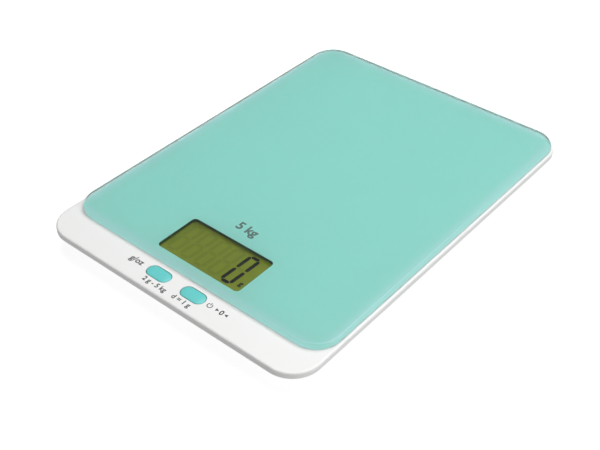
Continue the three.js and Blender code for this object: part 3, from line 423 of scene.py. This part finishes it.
plastic("red_sleeve", linear(176, 42, 34), 0.45, grain_mm=0.5, depth_mm=0.01)
metal("switch_steel", (0.62, 0.63, 0.65, 1), 0.32)
metal("screw_steel", (0.56, 0.57, 0.6, 1), 0.3, line_mm=0.2, stretch=1.0)
metal("cell_steel", (0.6, 0.61, 0.63, 1), 0.26)
metal("coin_steel", (0.68, 0.69, 0.7, 1), 0.2, line_mm=0.3, stretch=4.0)
metal("contact_steel", (0.66, 0.65, 0.62, 1), 0.28)
print(len(finishes), "plain finishes")

# %% [markdown]
# ### Ink under glass
# The mint colour isn't in the glass. It is a screen-printed layer on the underside, so it is even, matt
# and very slightly speckled by the mesh of the screen. Light that enters the polished rim runs a few
# millimetres inside the sheet and brightens the ink there; that glow is painted light, painted into the
# ink's colour, which mixes towards a paler mint near the outline. The mix is worked out from the place on
# the sheet, and needs no image map.

# %% Make the mint ink
INK_MIDDLE = linear(180, 252, 242)
# painted light: the paler edge colour stands in for light let in through the polished rim
PAINTED_RIM_GLOW = linear(206, 255, 254)
PAINTED_GLOW_BAND = 5 * MM

ink = plastic("mint_ink", INK_MIDDLE, 0.6, grain_mm=0.2, depth_mm=0.002, colour_spread=0.012)
ink_tree = ink.node_tree
ink_place = add_node(ink_tree, "ShaderNodeTexCoord")
ink_apart = add_node(ink_tree, "ShaderNodeSeparateXYZ")
ink_tree.links.new(ink_place.outputs["Object"], ink_apart.inputs[0])
# painted light mask: how far each point lies into the band of painted rim glow
glow_reach = []
for label, centre, half in (
    ("X", middle("glass_print").x, span("glass_print").x / 2),
    ("Y", middle("glass_print").y, span("glass_print").y / 2),
):
    offset = math_node(ink_tree, "SUBTRACT", ink_apart.outputs[label], centre)
    away = math_node(ink_tree, "ABSOLUTE", offset, 0.0)
    past = math_node(ink_tree, "SUBTRACT", away, half - PAINTED_GLOW_BAND)
    glow_reach.append(math_node(ink_tree, "DIVIDE", past, PAINTED_GLOW_BAND))
glow_mix = add_node(ink_tree, "ShaderNodeMix", data_type="RGBA")
set_inputs(glow_mix, {"A": INK_MIDDLE, "B": PAINTED_RIM_GLOW})
ink_tree.links.new(math_node(ink_tree, "MAXIMUM", *glow_reach), glow_mix.inputs["Factor"])
ink_patches = next(n for n in ink_tree.nodes if n.type == "GROUP" and n.node_tree == mottle)
ink_tree.links.new(glow_mix.outputs["Result"], ink_patches.inputs["Color"])
print("ink lightens over the outer", round(PAINTED_GLOW_BAND / MM, 1), "mm")

# %% [markdown]
# ### Glass
# Clear tempered glass is a Principled BSDF with full transmission and an index of 1.5. A Glass BSDF would
# look the same, but only the Principled one is read by other programs. The ink is bonded to the glass, with
# no air between them: a gap would turn the rim black by total internal reflection. So the print starts a
# hair inside the sheet, and light reaches it through one surface only. The broad faces are polished bright,
# and the upright rim is a little greener and less smooth, because it is polished by wheel.

# %% Make the two glass finishes
GLASS_IOR = 1.5


def clear_glass(name, tint, roughness):
    """A polished glass with faint wiping marks in its gloss."""
    look, tree, shader = new_look(name)
    set_inputs(shader, {"Base Color": tint, "Transmission Weight": 1.0, "IOR": GLASS_IOR})
    wiped = place_group(tree, mottle, roughness=roughness, roughness_spread=0.03, patch_size_mm=25.0)
    tree.links.new(wiped.outputs["Roughness"], shader.inputs["Roughness"])
    finishes[name] = look
    return look


glass_face = clear_glass("clear_glass", (0.97, 1.0, 0.99, 1), 0.02)
glass_rim = clear_glass("glass_rim", (0.95, 1.0, 0.985, 1), 0.04)
print("two glasses with an index of", GLASS_IOR)

# %% [markdown]
# ### Display, board, label and inks
# A reflective display is olive because of its polariser. Its front is a thin glossy film. The circuit
# board is green lacquer over copper, so its tracks show as a lighter net, which a brick texture draws:
# tracks modelled one by one would never be seen this small. Two pad-printed inks mark the strip and the
# glass.

# %% Make the display film, the board lacquer, the label and the inks
LCD_OLIVE = linear(138, 149, 34)
LCD_GHOST = linear(129, 140, 31)
LCD_DARK = linear(6, 7, 4)
LACQUER_DARK = linear(34, 98, 58)
LACQUER_LIGHT = linear(40, 110, 66)
TRACK_GREEN = linear(72, 146, 92)


def film(name, colour, **more):
    """The display's glossy film over one colour."""
    return plastic(name, colour, 0.3, grain_mm=1.2, depth_mm=0.001, Specular_IOR_Level=0.2, **more)


film("display_glass", LCD_OLIVE, colour_spread=0.05)
faint_segment = film("faint_segment", LCD_GHOST)
dark_segment = film("dark_segment", LCD_DARK)

plastic("board_laminate", linear(40, 108, 66), 0.35, grain_mm=0.9, depth_mm=0.01)
board_tree = finishes["board_laminate"].node_tree
track_place = add_node(board_tree, "ShaderNodeTexCoord")
tracks = add_node(
    board_tree, "ShaderNodeTexBrick",
    {"Scale": 160.0, "Mortar Size": 0.07, "Mortar Smooth": 0.2, "Brick Width": 1.7, "Row Height": 0.35},
    offset=0.37,
)
set_inputs(tracks, {"Color1": LACQUER_DARK, "Color2": LACQUER_LIGHT, "Mortar": TRACK_GREEN})
board_tree.links.new(track_place.outputs["Object"], tracks.inputs["Vector"])
board_tree.links.new(tracks.outputs["Color"], board_tree.nodes["Principled BSDF"].inputs["Base Color"])

plastic("label_paper", linear(214, 217, 219), 0.42, grain_mm=0.4, depth_mm=0.004, Metallic=0.25)
strip_ink = plastic("strip_ink", linear(40, 40, 44), 0.5, grain_mm=0.1, depth_mm=0.002)
mark_ink = plastic("mark_ink", linear(112, 132, 130), 0.4, grain_mm=0.1, depth_mm=0.002)
print("finishes:", sorted(finishes))

# %% [markdown]
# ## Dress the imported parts
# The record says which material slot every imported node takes, so one loop gives each node its finish. The
# packed triangles don't share their corners, so they can't shade smoothly as they come. Welding the meshes
# for good would change them, so three modifiers change only how light reads them: Weld joins the corners,
# Edge Split parts the edges sharper than 32 degrees, and weighted normals keep big flat faces flat beside
# small fillets.

# %% Give every node its finish
SHARP_FROM = math.radians(32)
WELD = 0.0005 * MM
FACE_SIZE_WEIGHT = 100  # from 50, where all faces count alike, to 100, where large faces win


def smooth(piece):
    """Smooth shading with sharp edges kept, and flat faces kept flat."""
    mesh = piece.data
    mesh.polygons.foreach_set("use_smooth", [True] * len(mesh.polygons))
    mesh.set_sharp_from_angle(angle=SHARP_FROM)
    weigh = piece.modifiers.new("flat_faces_stay_flat", "WEIGHTED_NORMAL")
    weigh.keep_sharp = True
    weigh.weight = FACE_SIZE_WEIGHT


for row in frame["record"]["subparts"]:
    node = frame["nodes"][row["node"]]
    node.data.materials.clear()
    node.data.materials.append(finishes[row["material_slot"]])
    node.modifiers.new("join_corners", "WELD").merge_threshold = WELD
    node.modifiers.new("part_sharp_edges", "EDGE_SPLIT").split_angle = SHARP_FROM
    smooth(node)

# %% [markdown]
# ## Shapes from rings
# The glass, its print and the buttons are all plates with round corners and eased edges. Such a plate is a
# stack of outlines, each a rounded rectangle at its own height, joined by bands of faces. A cube with a
# Bevel modifier would be quicker, but its corners and its edges would share one radius.


# %% Helpers for plates
def rounded_outline(width, depth, radius, centre, steps):
    """Points of a rectangle with round corners, counter-clockwise."""
    points = []
    for sx, sy, start in ((1, 1, 0), (-1, 1, 90), (-1, -1, 180), (1, -1, 270)):
        for i in range(steps + 1):
            angle = math.radians(start + 90 * i / steps)
            x = centre[0] + sx * (width / 2 - radius) + radius * math.cos(angle)
            y = centre[1] + sy * (depth / 2 - radius) + radius * math.sin(angle)
            points.append(Vector((x, y)))
    return points


def join_loops(made, low, high):
    """A band of faces between two loops that have as many corners each."""
    for i in range(len(low)):
        j = (i + 1) % len(low)
        made.faces.new((low[i], low[j], high[j], high[i]))


def finished_mesh(name, made):
    """Turns what bmesh has made into a mesh."""
    mesh = bpy.data.meshes.new(name)
    made.to_mesh(mesh)
    made.free()
    return mesh


def ring_mesh(name, rings):
    """A closed mesh through rings of (outline, height), from the bottom up."""
    made = bmesh.new()
    loops = [[made.verts.new((p.x, p.y, z)) for p in outline] for outline, z in rings]
    for low, high in zip(loops, loops[1:]):
        join_loops(made, low, high)
    made.faces.new(list(reversed(loops[0])))
    made.faces.new(loops[-1])
    return finished_mesh(name, made)


def build(name, mesh, look, body=None):
    """Links a finished mesh as a piece that rides on a body, or on none if no body is named."""
    piece = add_object(name, mesh)
    mesh.materials.append(look)
    if body:
        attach(piece, body)
    return piece


# %% [markdown]
# ## The glass sheet
# The sheet is 3 mm thick with a polished rim: the top edge is rounded by most of a millimetre and the bottom
# one by less. It is rebuilt here with finer corners than the frame has, because a polished edge shows every
# facet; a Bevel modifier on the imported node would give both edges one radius. Its upright faces take the
# rim's finish, and all others the clear one.

# %% Build the glass
GLASS_CORNER = 12 * MM
GLASS_TOP_POLISH = 0.8 * MM
GLASS_BOTTOM_POLISH = 0.3 * MM
RIM_BELOW = 0.35  # a face this close to upright belongs to the rim
CORNER_STEPS = 28
POLISH_STEPS = 6

glass_low, glass_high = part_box("glass_platform")
glass_size = span("glass_platform")
glass_centre = middle("glass_platform")


def glass_outline(inset):
    """The sheet's outline, pulled in all round by an inset."""
    width, depth = glass_size.x - 2 * inset, glass_size.y - 2 * inset
    return rounded_outline(width, depth, GLASS_CORNER - inset, glass_centre, CORNER_STEPS)


quarter_turn = [math.radians(90 * i / POLISH_STEPS) for i in range(POLISH_STEPS + 1)]
glass_rings = []
for angle in quarter_turn:
    height = glass_low.z + GLASS_BOTTOM_POLISH * (1 - math.cos(angle))
    glass_rings.append((glass_outline(GLASS_BOTTOM_POLISH * (1 - math.sin(angle))), height))
for angle in quarter_turn:
    height = glass_high.z - GLASS_TOP_POLISH * (1 - math.sin(angle))
    glass_rings.append((glass_outline(GLASS_TOP_POLISH * (1 - math.cos(angle))), height))
glass_mesh = ring_mesh("glass_sheet", glass_rings)
glass_sheet = build("glass_sheet", glass_mesh, glass_face, "scale_body")
glass_mesh.materials.append(glass_rim)
for face in glass_mesh.polygons:
    face.material_index = 0 if abs(face.normal.z) > RIM_BELOW else 1
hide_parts("glass_platform")
smooth(glass_sheet)
print("glass sheet:", len(glass_mesh.polygons), "faces")

# %% [markdown]
# ## The print
# The ink is a layer with a clear window for the display, and it stops just short of the outline. It starts
# a hair inside the glass, as the finish above explains. The plate is drawn as one face with a hole:
# an outer outline, an inner one, and bmesh's triangle fill between them.

# %% Build the print
PRINT_INSET = 0.6 * MM
INK_RISE = 0.02 * MM
WINDOW_WIDTH = 46 * MM
WINDOW_DEPTH = 23 * MM
WINDOW_CORNER = 2 * MM
WINDOW_STEPS = 8


def plate_with_hole(name, outer, inner, bottom, top):
    """A flat plate between an outer outline and a hole, with walls at both."""
    made = bmesh.new()
    layers = []
    for z in (bottom, top):
        layers.append([[made.verts.new((p.x, p.y, z)) for p in outline] for outline in (outer, inner)])
    for low, high in zip(*layers):
        join_loops(made, low, high)
    for layer in layers:
        edges = []
        for loop in layer:
            count = len(loop)
            edges += [made.edges.get((loop[i], loop[(i + 1) % count])) for i in range(count)]
        bmesh.ops.triangle_fill(made, use_beauty=True, use_dissolve=False, edges=edges)
    bmesh.ops.recalc_face_normals(made, faces=made.faces)
    return finished_mesh(name, made)


print_low, print_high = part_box("glass_print")
ink_top = print_high.z + INK_RISE
window_centre = (glass_centre.x, middle("lcd_cell").y)
window = rounded_outline(WINDOW_WIDTH, WINDOW_DEPTH, WINDOW_CORNER, window_centre, WINDOW_STEPS)
ink_mesh = plate_with_hole("ink_layer", glass_outline(PRINT_INSET), window, print_low.z, ink_top)
ink_layer = build("ink_layer", ink_mesh, ink, "scale_body")
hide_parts("glass_print")
print("window centre y in mm:", round(window_centre[1] / MM, 2))

# %% [markdown]
# ## Push buttons
# Each button is a mint cap in the shape of a pill. A wider flange keeps it from falling out of its hole, and
# a low crown tells the finger where the middle is. The rings carry all of it: flange, neck, rounded edge
# and crown. A flat extruded pill would look like a sticker, because it would catch no highlight.

# %% Build the two caps
BUTTON_LENGTH = 12.2 * MM
BUTTON_WIDTH = 6.2 * MM
FLANGE_THICK = 0.6 * MM
CAP_EDGE_ROUND = 0.45 * MM
CROWN_HEIGHT = 0.2 * MM
CAP_STEPS = 16
CROWN_STEPS = 8


def pill(length, width, inset, centre):
    """A pill outline, pulled in all round by an inset."""
    radius = width / 2 - inset
    points = rounded_outline(length - 2 * inset, width - 2 * inset, radius, centre, CAP_STEPS)
    return [p for i, p in enumerate(points) if (p - points[i - 1]).length > WELD]


def button_cap(name, node, body):
    """A flanged, crowned cap in the place of a packed one."""
    low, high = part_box(node)
    centre = middle(node)
    flange = pill(high.x - low.x, high.y - low.y, 0, centre)
    neck = pill(BUTTON_LENGTH, BUTTON_WIDTH, 0, centre)
    rings = [(flange, low.z), (flange, low.z + FLANGE_THICK), (neck, low.z + FLANGE_THICK)]
    shoulder = high.z - CROWN_HEIGHT
    for angle in quarter_turn:
        inset = CAP_EDGE_ROUND * (1 - math.cos(angle))
        height = shoulder - CAP_EDGE_ROUND * (1 - math.sin(angle))
        rings.append((pill(BUTTON_LENGTH, BUTTON_WIDTH, inset, centre), height))
    crown_run = BUTTON_WIDTH / 2 - CAP_EDGE_ROUND
    for i in range(1, CROWN_STEPS):
        share = i / CROWN_STEPS
        inset = CAP_EDGE_ROUND + crown_run * share
        height = shoulder + CROWN_HEIGHT * math.sin(math.radians(90 * share))
        rings.append((pill(BUTTON_LENGTH, BUTTON_WIDTH, inset, centre), height))
    cap = build(name, ring_mesh(name, rings), finishes["mint_key_plastic"], body)
    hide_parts(node)
    smooth(cap)
    return cap


for side in ("unit", "tare"):
    cap = button_cap(side + "_key", side + "_button_cap", side + "_button")
    print(cap.name, "has", len(cap.data.polygons), "faces")

# %% [markdown]
# ## Flat marks
# Segments, printed symbols and letters are all flat shapes a few hundredths of a millimetre thick. A shader
# could paint them, but plates keep their edges sharp from any distance. A helper turns any list of outlines
# into closed little plates. Letters come from Blender's own font as a text curve, are turned into a mesh,
# scaled to their height on the object, and welded.


# %% Helpers for flat marks
LETTER_STEPS = 4  # how finely a letter's curves are divided
BOLDNESS = 0.022  # how far a letter's outline is pushed out, as a share of its size


def plates(name, outlines, bottom, top):
    """One mesh of closed plates, one for each outline of (x, y) points."""
    made = bmesh.new()
    for outline in outlines:
        low = [made.verts.new((x, y, bottom)) for x, y in outline]
        high = [made.verts.new((x, y, top)) for x, y in outline]
        made.faces.new(list(reversed(low)))
        made.faces.new(high)
        join_loops(made, low, high)
    bmesh.ops.recalc_face_normals(made, faces=made.faces)
    return finished_mesh(name, made)


def lettering(name, words, height, centre, bottom, top, boldness=BOLDNESS):
    """A mesh of letters of a given height, centred on a point, from bottom to top."""
    curve = bpy.data.curves.new(name, "FONT")
    curve.body = words
    curve.resolution_u = LETTER_STEPS
    curve.extrude = 0.5
    curve.offset = boldness
    holder = add_object(name + "_curve", curve)
    bpy.context.view_layer.update()
    mesh = bpy.data.meshes.new_from_object(holder.evaluated_get(bpy.context.evaluated_depsgraph_get()))
    bpy.data.objects.remove(holder)
    bpy.data.curves.remove(curve)
    mesh.name = name
    lows = [min(v.co[axis] for v in mesh.vertices) for axis in range(3)]
    highs = [max(v.co[axis] for v in mesh.vertices) for axis in range(3)]
    scale = height / (highs[1] - lows[1])
    for vertex in mesh.vertices:
        x = (vertex.co.x - (lows[0] + highs[0]) / 2) * scale
        y = (vertex.co.y - (lows[1] + highs[1]) / 2) * scale
        z = bottom if vertex.co.z < 0 else top
        vertex.co = (centre[0] + x, centre[1] + y, z)
    welded = bmesh.new()
    welded.from_mesh(mesh)
    bmesh.ops.remove_doubles(welded, verts=welded.verts, dist=WELD)
    bmesh.ops.recalc_face_normals(welded, faces=welded.faces)
    welded.to_mesh(mesh)
    welded.free()
    mesh.materials.clear()
    return mesh


# %% [markdown]
# ## The display's segments
# A reflective display lays liquid crystal segments over an olive mirror. Lit ones are almost black, and the
# others show as ghosts. Each digit is seven hexagonal bars on a slightly leaning figure of eight. A font
# would have to be found and wouldn't have the ghosts, and seven bars are soon drawn.

# %% Build the digits
DIGIT_WIDTH = 6.4 * MM
DIGIT_HEIGHT = 19.5 * MM
DIGIT_PITCH = 7.9 * MM
DIGIT_COUNT = 5
LAST_DIGIT_X = 13.4 * MM
DIGIT_UP = 0.85 * MM
BAR_WIDTH = 1.65 * MM
BAR_GAP = 0.18 * MM
DIGIT_LEAN = math.tan(math.radians(2.0))
SEGMENT_LIFT = 0.01 * MM
SEGMENT_THICK = 0.02 * MM
GRAM_X = 19.4 * MM
GRAM_DOWN = 6.8 * MM
GRAM_HEIGHT = 2.8 * MM
HEAVY = 0.03  # the boldness of marks that are heavier than the rest

segment_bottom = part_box("lcd_cell")[1].z + SEGMENT_LIFT
segment_top = segment_bottom + SEGMENT_THICK
digits_y = window_centre[1] + DIGIT_UP


def bar(start, end, centre):
    """A hexagonal bar between two points of a digit, leaning with it."""
    start, end = Vector(start), Vector(end)
    along = (end - start).normalized()
    across = Vector((-along.y, along.x)) * BAR_WIDTH / 2
    start, end = start + along * BAR_GAP, end - along * BAR_GAP
    points = [start, start + along * BAR_WIDTH / 2 + across, end - along * BAR_WIDTH / 2 + across, end]
    points += [end - along * BAR_WIDTH / 2 - across, start + along * BAR_WIDTH / 2 - across]
    return [(centre[0] + p.x + p.y * DIGIT_LEAN, centre[1] + p.y) for p in points]


half_wide = (DIGIT_WIDTH - BAR_WIDTH) / 2
half_high = (DIGIT_HEIGHT - BAR_WIDTH) / 2
rim_bars = [
    ((-half_wide, half_high), (half_wide, half_high)),
    ((half_wide, half_high), (half_wide, 0)),
    ((half_wide, 0), (half_wide, -half_high)),
    ((half_wide, -half_high), (-half_wide, -half_high)),
    ((-half_wide, -half_high), (-half_wide, 0)),
    ((-half_wide, 0), (-half_wide, half_high)),
]
middle_bar = ((-half_wide, 0), (half_wide, 0))
lit, faint = [], []
for place in range(DIGIT_COUNT):
    at = (LAST_DIGIT_X - place * DIGIT_PITCH, digits_y)
    shown = lit if place == 0 else faint
    shown += [bar(*ends, at) for ends in rim_bars]
    faint.append(bar(*middle_bar, at))
for name, shapes, look in (("lit_segments", lit, dark_segment), ("faint_segments", faint, faint_segment)):
    build(name, plates(name, shapes, segment_bottom, segment_top), look, "scale_body")
gram_at = (GRAM_X, digits_y - GRAM_DOWN)
gram_mark = lettering("gram_mark", "g", GRAM_HEIGHT, gram_at, segment_bottom, segment_top, HEAVY)
build("gram_mark", gram_mark, dark_segment, "scale_body")
print(len(lit), "lit and", len(faint), "faint bars")

# %% [markdown]
# ## Printed marks
# The strip says what the buttons do. Here the left one has the two units that it changes between, and the
# right one a power sign and a zero between two arrows; the line in front gives the range and the smallest
# step. A figure on the glass tells the capacity. Real ones are pad prints, too thin to feel: these plates
# stand a hundredth of a millimetre proud, because ink in the very plane of the plastic would flicker.

# %% Print the signs on the strip
PRINT_PROUD = 0.015 * MM
ARC_STEPS = 20
POWER_X = 19.0 * MM
POWER_RADIUS = 1.15 * MM
POWER_LINE = 0.36 * MM
POWER_ARC = (125, 415)
POWER_STROKE = (0.2 * MM, 1.6 * MM)
ZERO_X = 25.4 * MM
ARROW_FROM_ZERO = 1.5 * MM
ARROW_LENGTH = 1.6 * MM
ARROW_WIDTH = 1.5 * MM

strip_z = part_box("top_shell")[1].z
strip_top = strip_z + PRINT_PROUD
marks_y = middle("unit_button_cap").y


def arc_band(centre, radius, width, start, end):
    """The outline of a curved band, from a start angle to an end angle in degrees."""
    angles = [math.radians(start + (end - start) * i / ARC_STEPS) for i in range(ARC_STEPS + 1)]
    sides = []
    for reach in (radius + width / 2, radius - width / 2):
        sides.append([(centre[0] + reach * math.cos(a), centre[1] + reach * math.sin(a)) for a in angles])
    return sides[0] + sides[1][::-1]


def box_outline(left, right, bottom, top):
    """The outline of an upright rectangle."""
    return [(left, bottom), (right, bottom), (right, top), (left, top)]


def arrow(tip, length, width):
    """A small triangle that points along x; a negative length points it back."""
    return [tip, (tip[0] - length, tip[1] + width / 2), (tip[0] - length, tip[1] - width / 2)]


stroke_low, stroke_high = (marks_y + up for up in POWER_STROKE)
signs = [
    arc_band((POWER_X, marks_y), POWER_RADIUS, POWER_LINE, *POWER_ARC),
    box_outline(POWER_X - POWER_LINE / 2, POWER_X + POWER_LINE / 2, stroke_low, stroke_high),
    arrow((ZERO_X - ARROW_FROM_ZERO, marks_y), ARROW_LENGTH, ARROW_WIDTH),
    arrow((ZERO_X + ARROW_FROM_ZERO, marks_y), -ARROW_LENGTH, ARROW_WIDTH),
]
build("strip_signs", plates("strip_signs", signs, strip_z, strip_top), strip_ink, "scale_body")
print(len(signs), "outlines in the strip's signs")

# %% Print the letters and figures
STRIP_LETTERS = {
    # piece: its words, their height, and how far they are right of and behind the buttons' middle
    "zero_mark": ("0", 2.7 * MM, ZERO_X, 0),
    "unit_mark": ("g/oz", 4.1 * MM, -22.8 * MM, -0.2 * MM),
    "range_mark": ("2 g - 5 kg    d = 1 g", 3.3 * MM, 0, -5.7 * MM),
}
CAPACITY_HEIGHT = 6.4 * MM
CAPACITY_BEHIND_WINDOW = 8.0 * MM

for name, (words, height, right, behind) in STRIP_LETTERS.items():
    letters = lettering(name, words, height, (right, marks_y + behind), strip_z, strip_top)
    build(name, letters, strip_ink, "scale_body")
capacity_at = (0, window_centre[1] + WINDOW_DEPTH / 2 + CAPACITY_BEHIND_WINDOW)
capacity = lettering(
    "capacity_mark", "5 kg", CAPACITY_HEIGHT, capacity_at, ink_top, ink_top + PRINT_PROUD, HEAVY
)
build("capacity_mark", capacity, mark_ink, "scale_body")
print("printed marks at y", round(marks_y / MM, 1), "mm")

# %% [markdown]
# ## Rubber pads
# Each foot stands on a rubber pad. A moulded pad has rounded edges and a few rings on its face, which grip
# better than a flat disc and let it peel off a wet worktop. The rings are drawn as a profile of radius and
# height, turned round the pad's axis. A Screw modifier would turn it too, but the helper for rings is here
# already and closes the middle by itself.

# %% Build the four pads
CORNERS = ("front_left", "front_right", "back_left", "back_right")
PAD_STEPS = 64
PAD_MIDDLE = 0.35 * MM
PAD_EDGE = 0.3 * MM
PAD_GROOVE = 0.35 * MM
PAD_RINGS = ((3.9 * MM, 4.9 * MM), (6.4 * MM, 7.4 * MM))


def round_outline(radius, centre, steps):
    """A circle of points, counter-clockwise."""
    turns = [math.radians(360 * i / steps) for i in range(steps)]
    return [Vector((centre[0] + radius * math.cos(t), centre[1] + radius * math.sin(t))) for t in turns]


def pad_profile(radius, bottom, top):
    """Radii and heights of a pad's face, with its grooves, and of its side."""
    profile = [(PAD_MIDDLE, bottom)]
    for inside, outside in PAD_RINGS:
        profile += [(inside, bottom), (inside + PAD_EDGE, bottom + PAD_GROOVE)]
        profile += [(outside - PAD_EDGE, bottom + PAD_GROOVE), (outside, bottom)]
    return profile + [(radius - PAD_EDGE, bottom), (radius, bottom + PAD_EDGE), (radius, top)]


def ringed_pad(corner):
    """A rubber pad with rings on its face, in the place of a packed one."""
    node = "foot_pad_" + corner
    low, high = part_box(node)
    profile = pad_profile(span(node).x / 2, low.z, high.z)
    rings = [(round_outline(radius, middle(node), PAD_STEPS), height) for radius, height in profile]
    name = "ringed_pad_" + corner
    pad = build(name, ring_mesh(name, rings), finishes["pad_rubber"], corner + "_foot")
    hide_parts(node)
    smooth(pad)


for corner in CORNERS:
    ringed_pad(corner)
print(len(CORNERS), "pads with", len(PAD_RINGS), "grooves each")

# %% [markdown]
# ## Load cells as frame and tongue
# A load cell is a steel plate with a tongue cut free on three sides. The foot is screwed to the middle of the
# tongue, and the plate's frame is held in the body, so weight bends the tongue between its root and the
# foot. The imported plate is one stiff node. Here the frame and the tongue are two meshes: the frame rides
# on the body, and the tongue is built with extra points where it would bend, on no body.

# %% Build the four load cells in two pieces
CELL_CORNER = 1.5 * MM
CELL_SLOT = 1.2 * MM
CELL_STEPS = 8
TONGUE_TIP = 7 * MM
TONGUE_ROOT = 6 * MM
TONGUE_HALF = 4.5 * MM
TONGUE_BENDS = 8
HOLE_CORNER = 0.4 * MM
SCREW_HOLE = 0.95 * MM
SCREW_HOLE_STEPS = 32
STEM_EDGE = 3.6 * MM


def tongue_outline(centre, toward_root):
    """The tongue seen from above: a rectangle with extra points where it bends."""
    tip = centre[0] - toward_root * TONGUE_TIP
    root = centre[0] + toward_root * TONGUE_ROOT
    stem = centre[0] + toward_root * STEM_EDGE
    run = [tip] + [stem + (root - stem) * i / TONGUE_BENDS for i in range(TONGUE_BENDS + 1)]
    lower = [Vector((x, centre[1] - TONGUE_HALF)) for x in run]
    upper = [Vector((x, centre[1] + TONGUE_HALF)) for x in reversed(run)]
    outline = lower + upper
    return outline if toward_root > 0 else list(reversed(outline))


def cell_frame(corner, low, high, centre, toward_root):
    """The fixed part of a load cell: a plate with a hole for its tongue."""
    outer = rounded_outline(high.x - low.x, high.y - low.y, CELL_CORNER, centre, CELL_STEPS)
    hole_length = TONGUE_TIP + CELL_SLOT + TONGUE_ROOT
    hole_at = (centre.x - toward_root * (TONGUE_TIP + CELL_SLOT - TONGUE_ROOT) / 2, centre.y)
    hole = rounded_outline(hole_length, 2 * (TONGUE_HALF + CELL_SLOT), HOLE_CORNER, hole_at, CELL_STEPS)
    name = "cell_frame_" + corner
    mesh = plate_with_hole(name, outer, hole, low.z, high.z)
    piece = build(name, mesh, finishes["cell_steel"], "scale_body")
    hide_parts("load_cell_" + corner)


def cell_tongue(corner, low, high, centre, toward_root):
    """The tongue of a load cell: a plate with a screw hole, on no body."""
    name = "cell_tongue_" + corner
    screw_hole = round_outline(SCREW_HOLE, centre, SCREW_HOLE_STEPS)
    mesh = plate_with_hole(name, tongue_outline(centre, toward_root), screw_hole, low.z, high.z)
    piece = build(name, mesh, finishes["cell_steel"])
    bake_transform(piece)


for corner in CORNERS:
    cell_low, cell_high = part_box("load_cell_" + corner)
    cell_centre = middle("load_cell_" + corner)
    toward_root = 1 if cell_centre.x > 0 else -1
    cell_frame(corner, cell_low, cell_high, cell_centre, toward_root)
    cell_tongue(corner, cell_low, cell_high, cell_centre, toward_root)
print(len(CORNERS), "load cells, each a frame and a bending tongue")

# %% [markdown]
# ## Underneath
# The battery door has ribs for the thumb and an arrow that shows which way its latch gives, both moulded on.
# A bump could fake them, but it would be missing from the door's outline. The sticker carries rows of small
# print, drawn here as plain bars that say nothing.

# %% Build the door's ribs and its arrow
RIB_COUNT = 5
RIB_FIRST = 4 * MM
RIB_PITCH = 1.5 * MM
RIB_LENGTH = 11 * MM
RIB_WIDTH = 0.7 * MM
RIB_PROUD = 0.3 * MM
RIB_EDGE = 0.15 * MM
DOOR_ARROW_TIP = 13 * MM
DOOR_ARROW_RUN = 4 * MM
DOOR_ARROW_HALF = 3 * MM
DOOR_ARROW_PROUD = 0.2 * MM

door_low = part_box("battery_door")[0]
door_x = middle("battery_door").x


def rib(made, y):
    """A low moulded bar with sloping sides, hanging under the door."""
    rings = []
    for inset, drop in ((0, 0), (0, RIB_PROUD - RIB_EDGE), (RIB_EDGE, RIB_PROUD)):
        half_long, half_wide = RIB_LENGTH / 2 - inset, RIB_WIDTH / 2 - inset
        outline = box_outline(door_x - half_long, door_x + half_long, y - half_wide, y + half_wide)
        rings.append([made.verts.new((*point, door_low.z - drop)) for point in outline])
    for upper, lower in zip(rings, rings[1:]):
        join_loops(made, upper, lower)
    made.faces.new(rings[0])
    made.faces.new(rings[-1])


rib_maker = bmesh.new()
for i in range(RIB_COUNT):
    rib(rib_maker, door_low.y + RIB_FIRST + i * RIB_PITCH)
bmesh.ops.recalc_face_normals(rib_maker, faces=rib_maker.faces)
ribs = finished_mesh("door_ribs", rib_maker)
build("door_ribs", ribs, finishes["white_plastic"], "door")
arrow_tip_y = door_low.y + DOOR_ARROW_TIP
arrow_back_y = arrow_tip_y + DOOR_ARROW_RUN
arrow_outline = [
    (door_x, arrow_tip_y), (door_x + DOOR_ARROW_HALF, arrow_back_y), (door_x - DOOR_ARROW_HALF, arrow_back_y)
]
arrow_mesh = plates("door_arrow", [arrow_outline], door_low.z - DOOR_ARROW_PROUD, door_low.z)
build("door_arrow", arrow_mesh, finishes["white_plastic"], "door")
print("door details:", RIB_COUNT, "ribs and an arrow")

# %% Print the sticker's bars
BAR_ROWS = 6
FIRST_ROW = 6 * MM
ROW_PITCH = 4.6 * MM
ROW_HEIGHT = 1.2 * MM
ROW_MARGIN = 5 * MM
LONGEST_ROW = 46 * MM
ROW_SHORTER = 7 * MM

label_low, label_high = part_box("rating_label")
left = label_low.x + ROW_MARGIN
bars = []
for row in range(BAR_ROWS):
    y = label_high.y - FIRST_ROW - row * ROW_PITCH
    right = left + LONGEST_ROW - ROW_SHORTER * (row % 3)
    bars.append(box_outline(left, right, y, y + ROW_HEIGHT))
bars_mesh = plates("label_bars", bars, label_low.z - PRINT_PROUD, label_low.z)
build("label_bars", bars_mesh, strip_ink, "scale_body")
print("sticker:", BAR_ROWS, "bars")
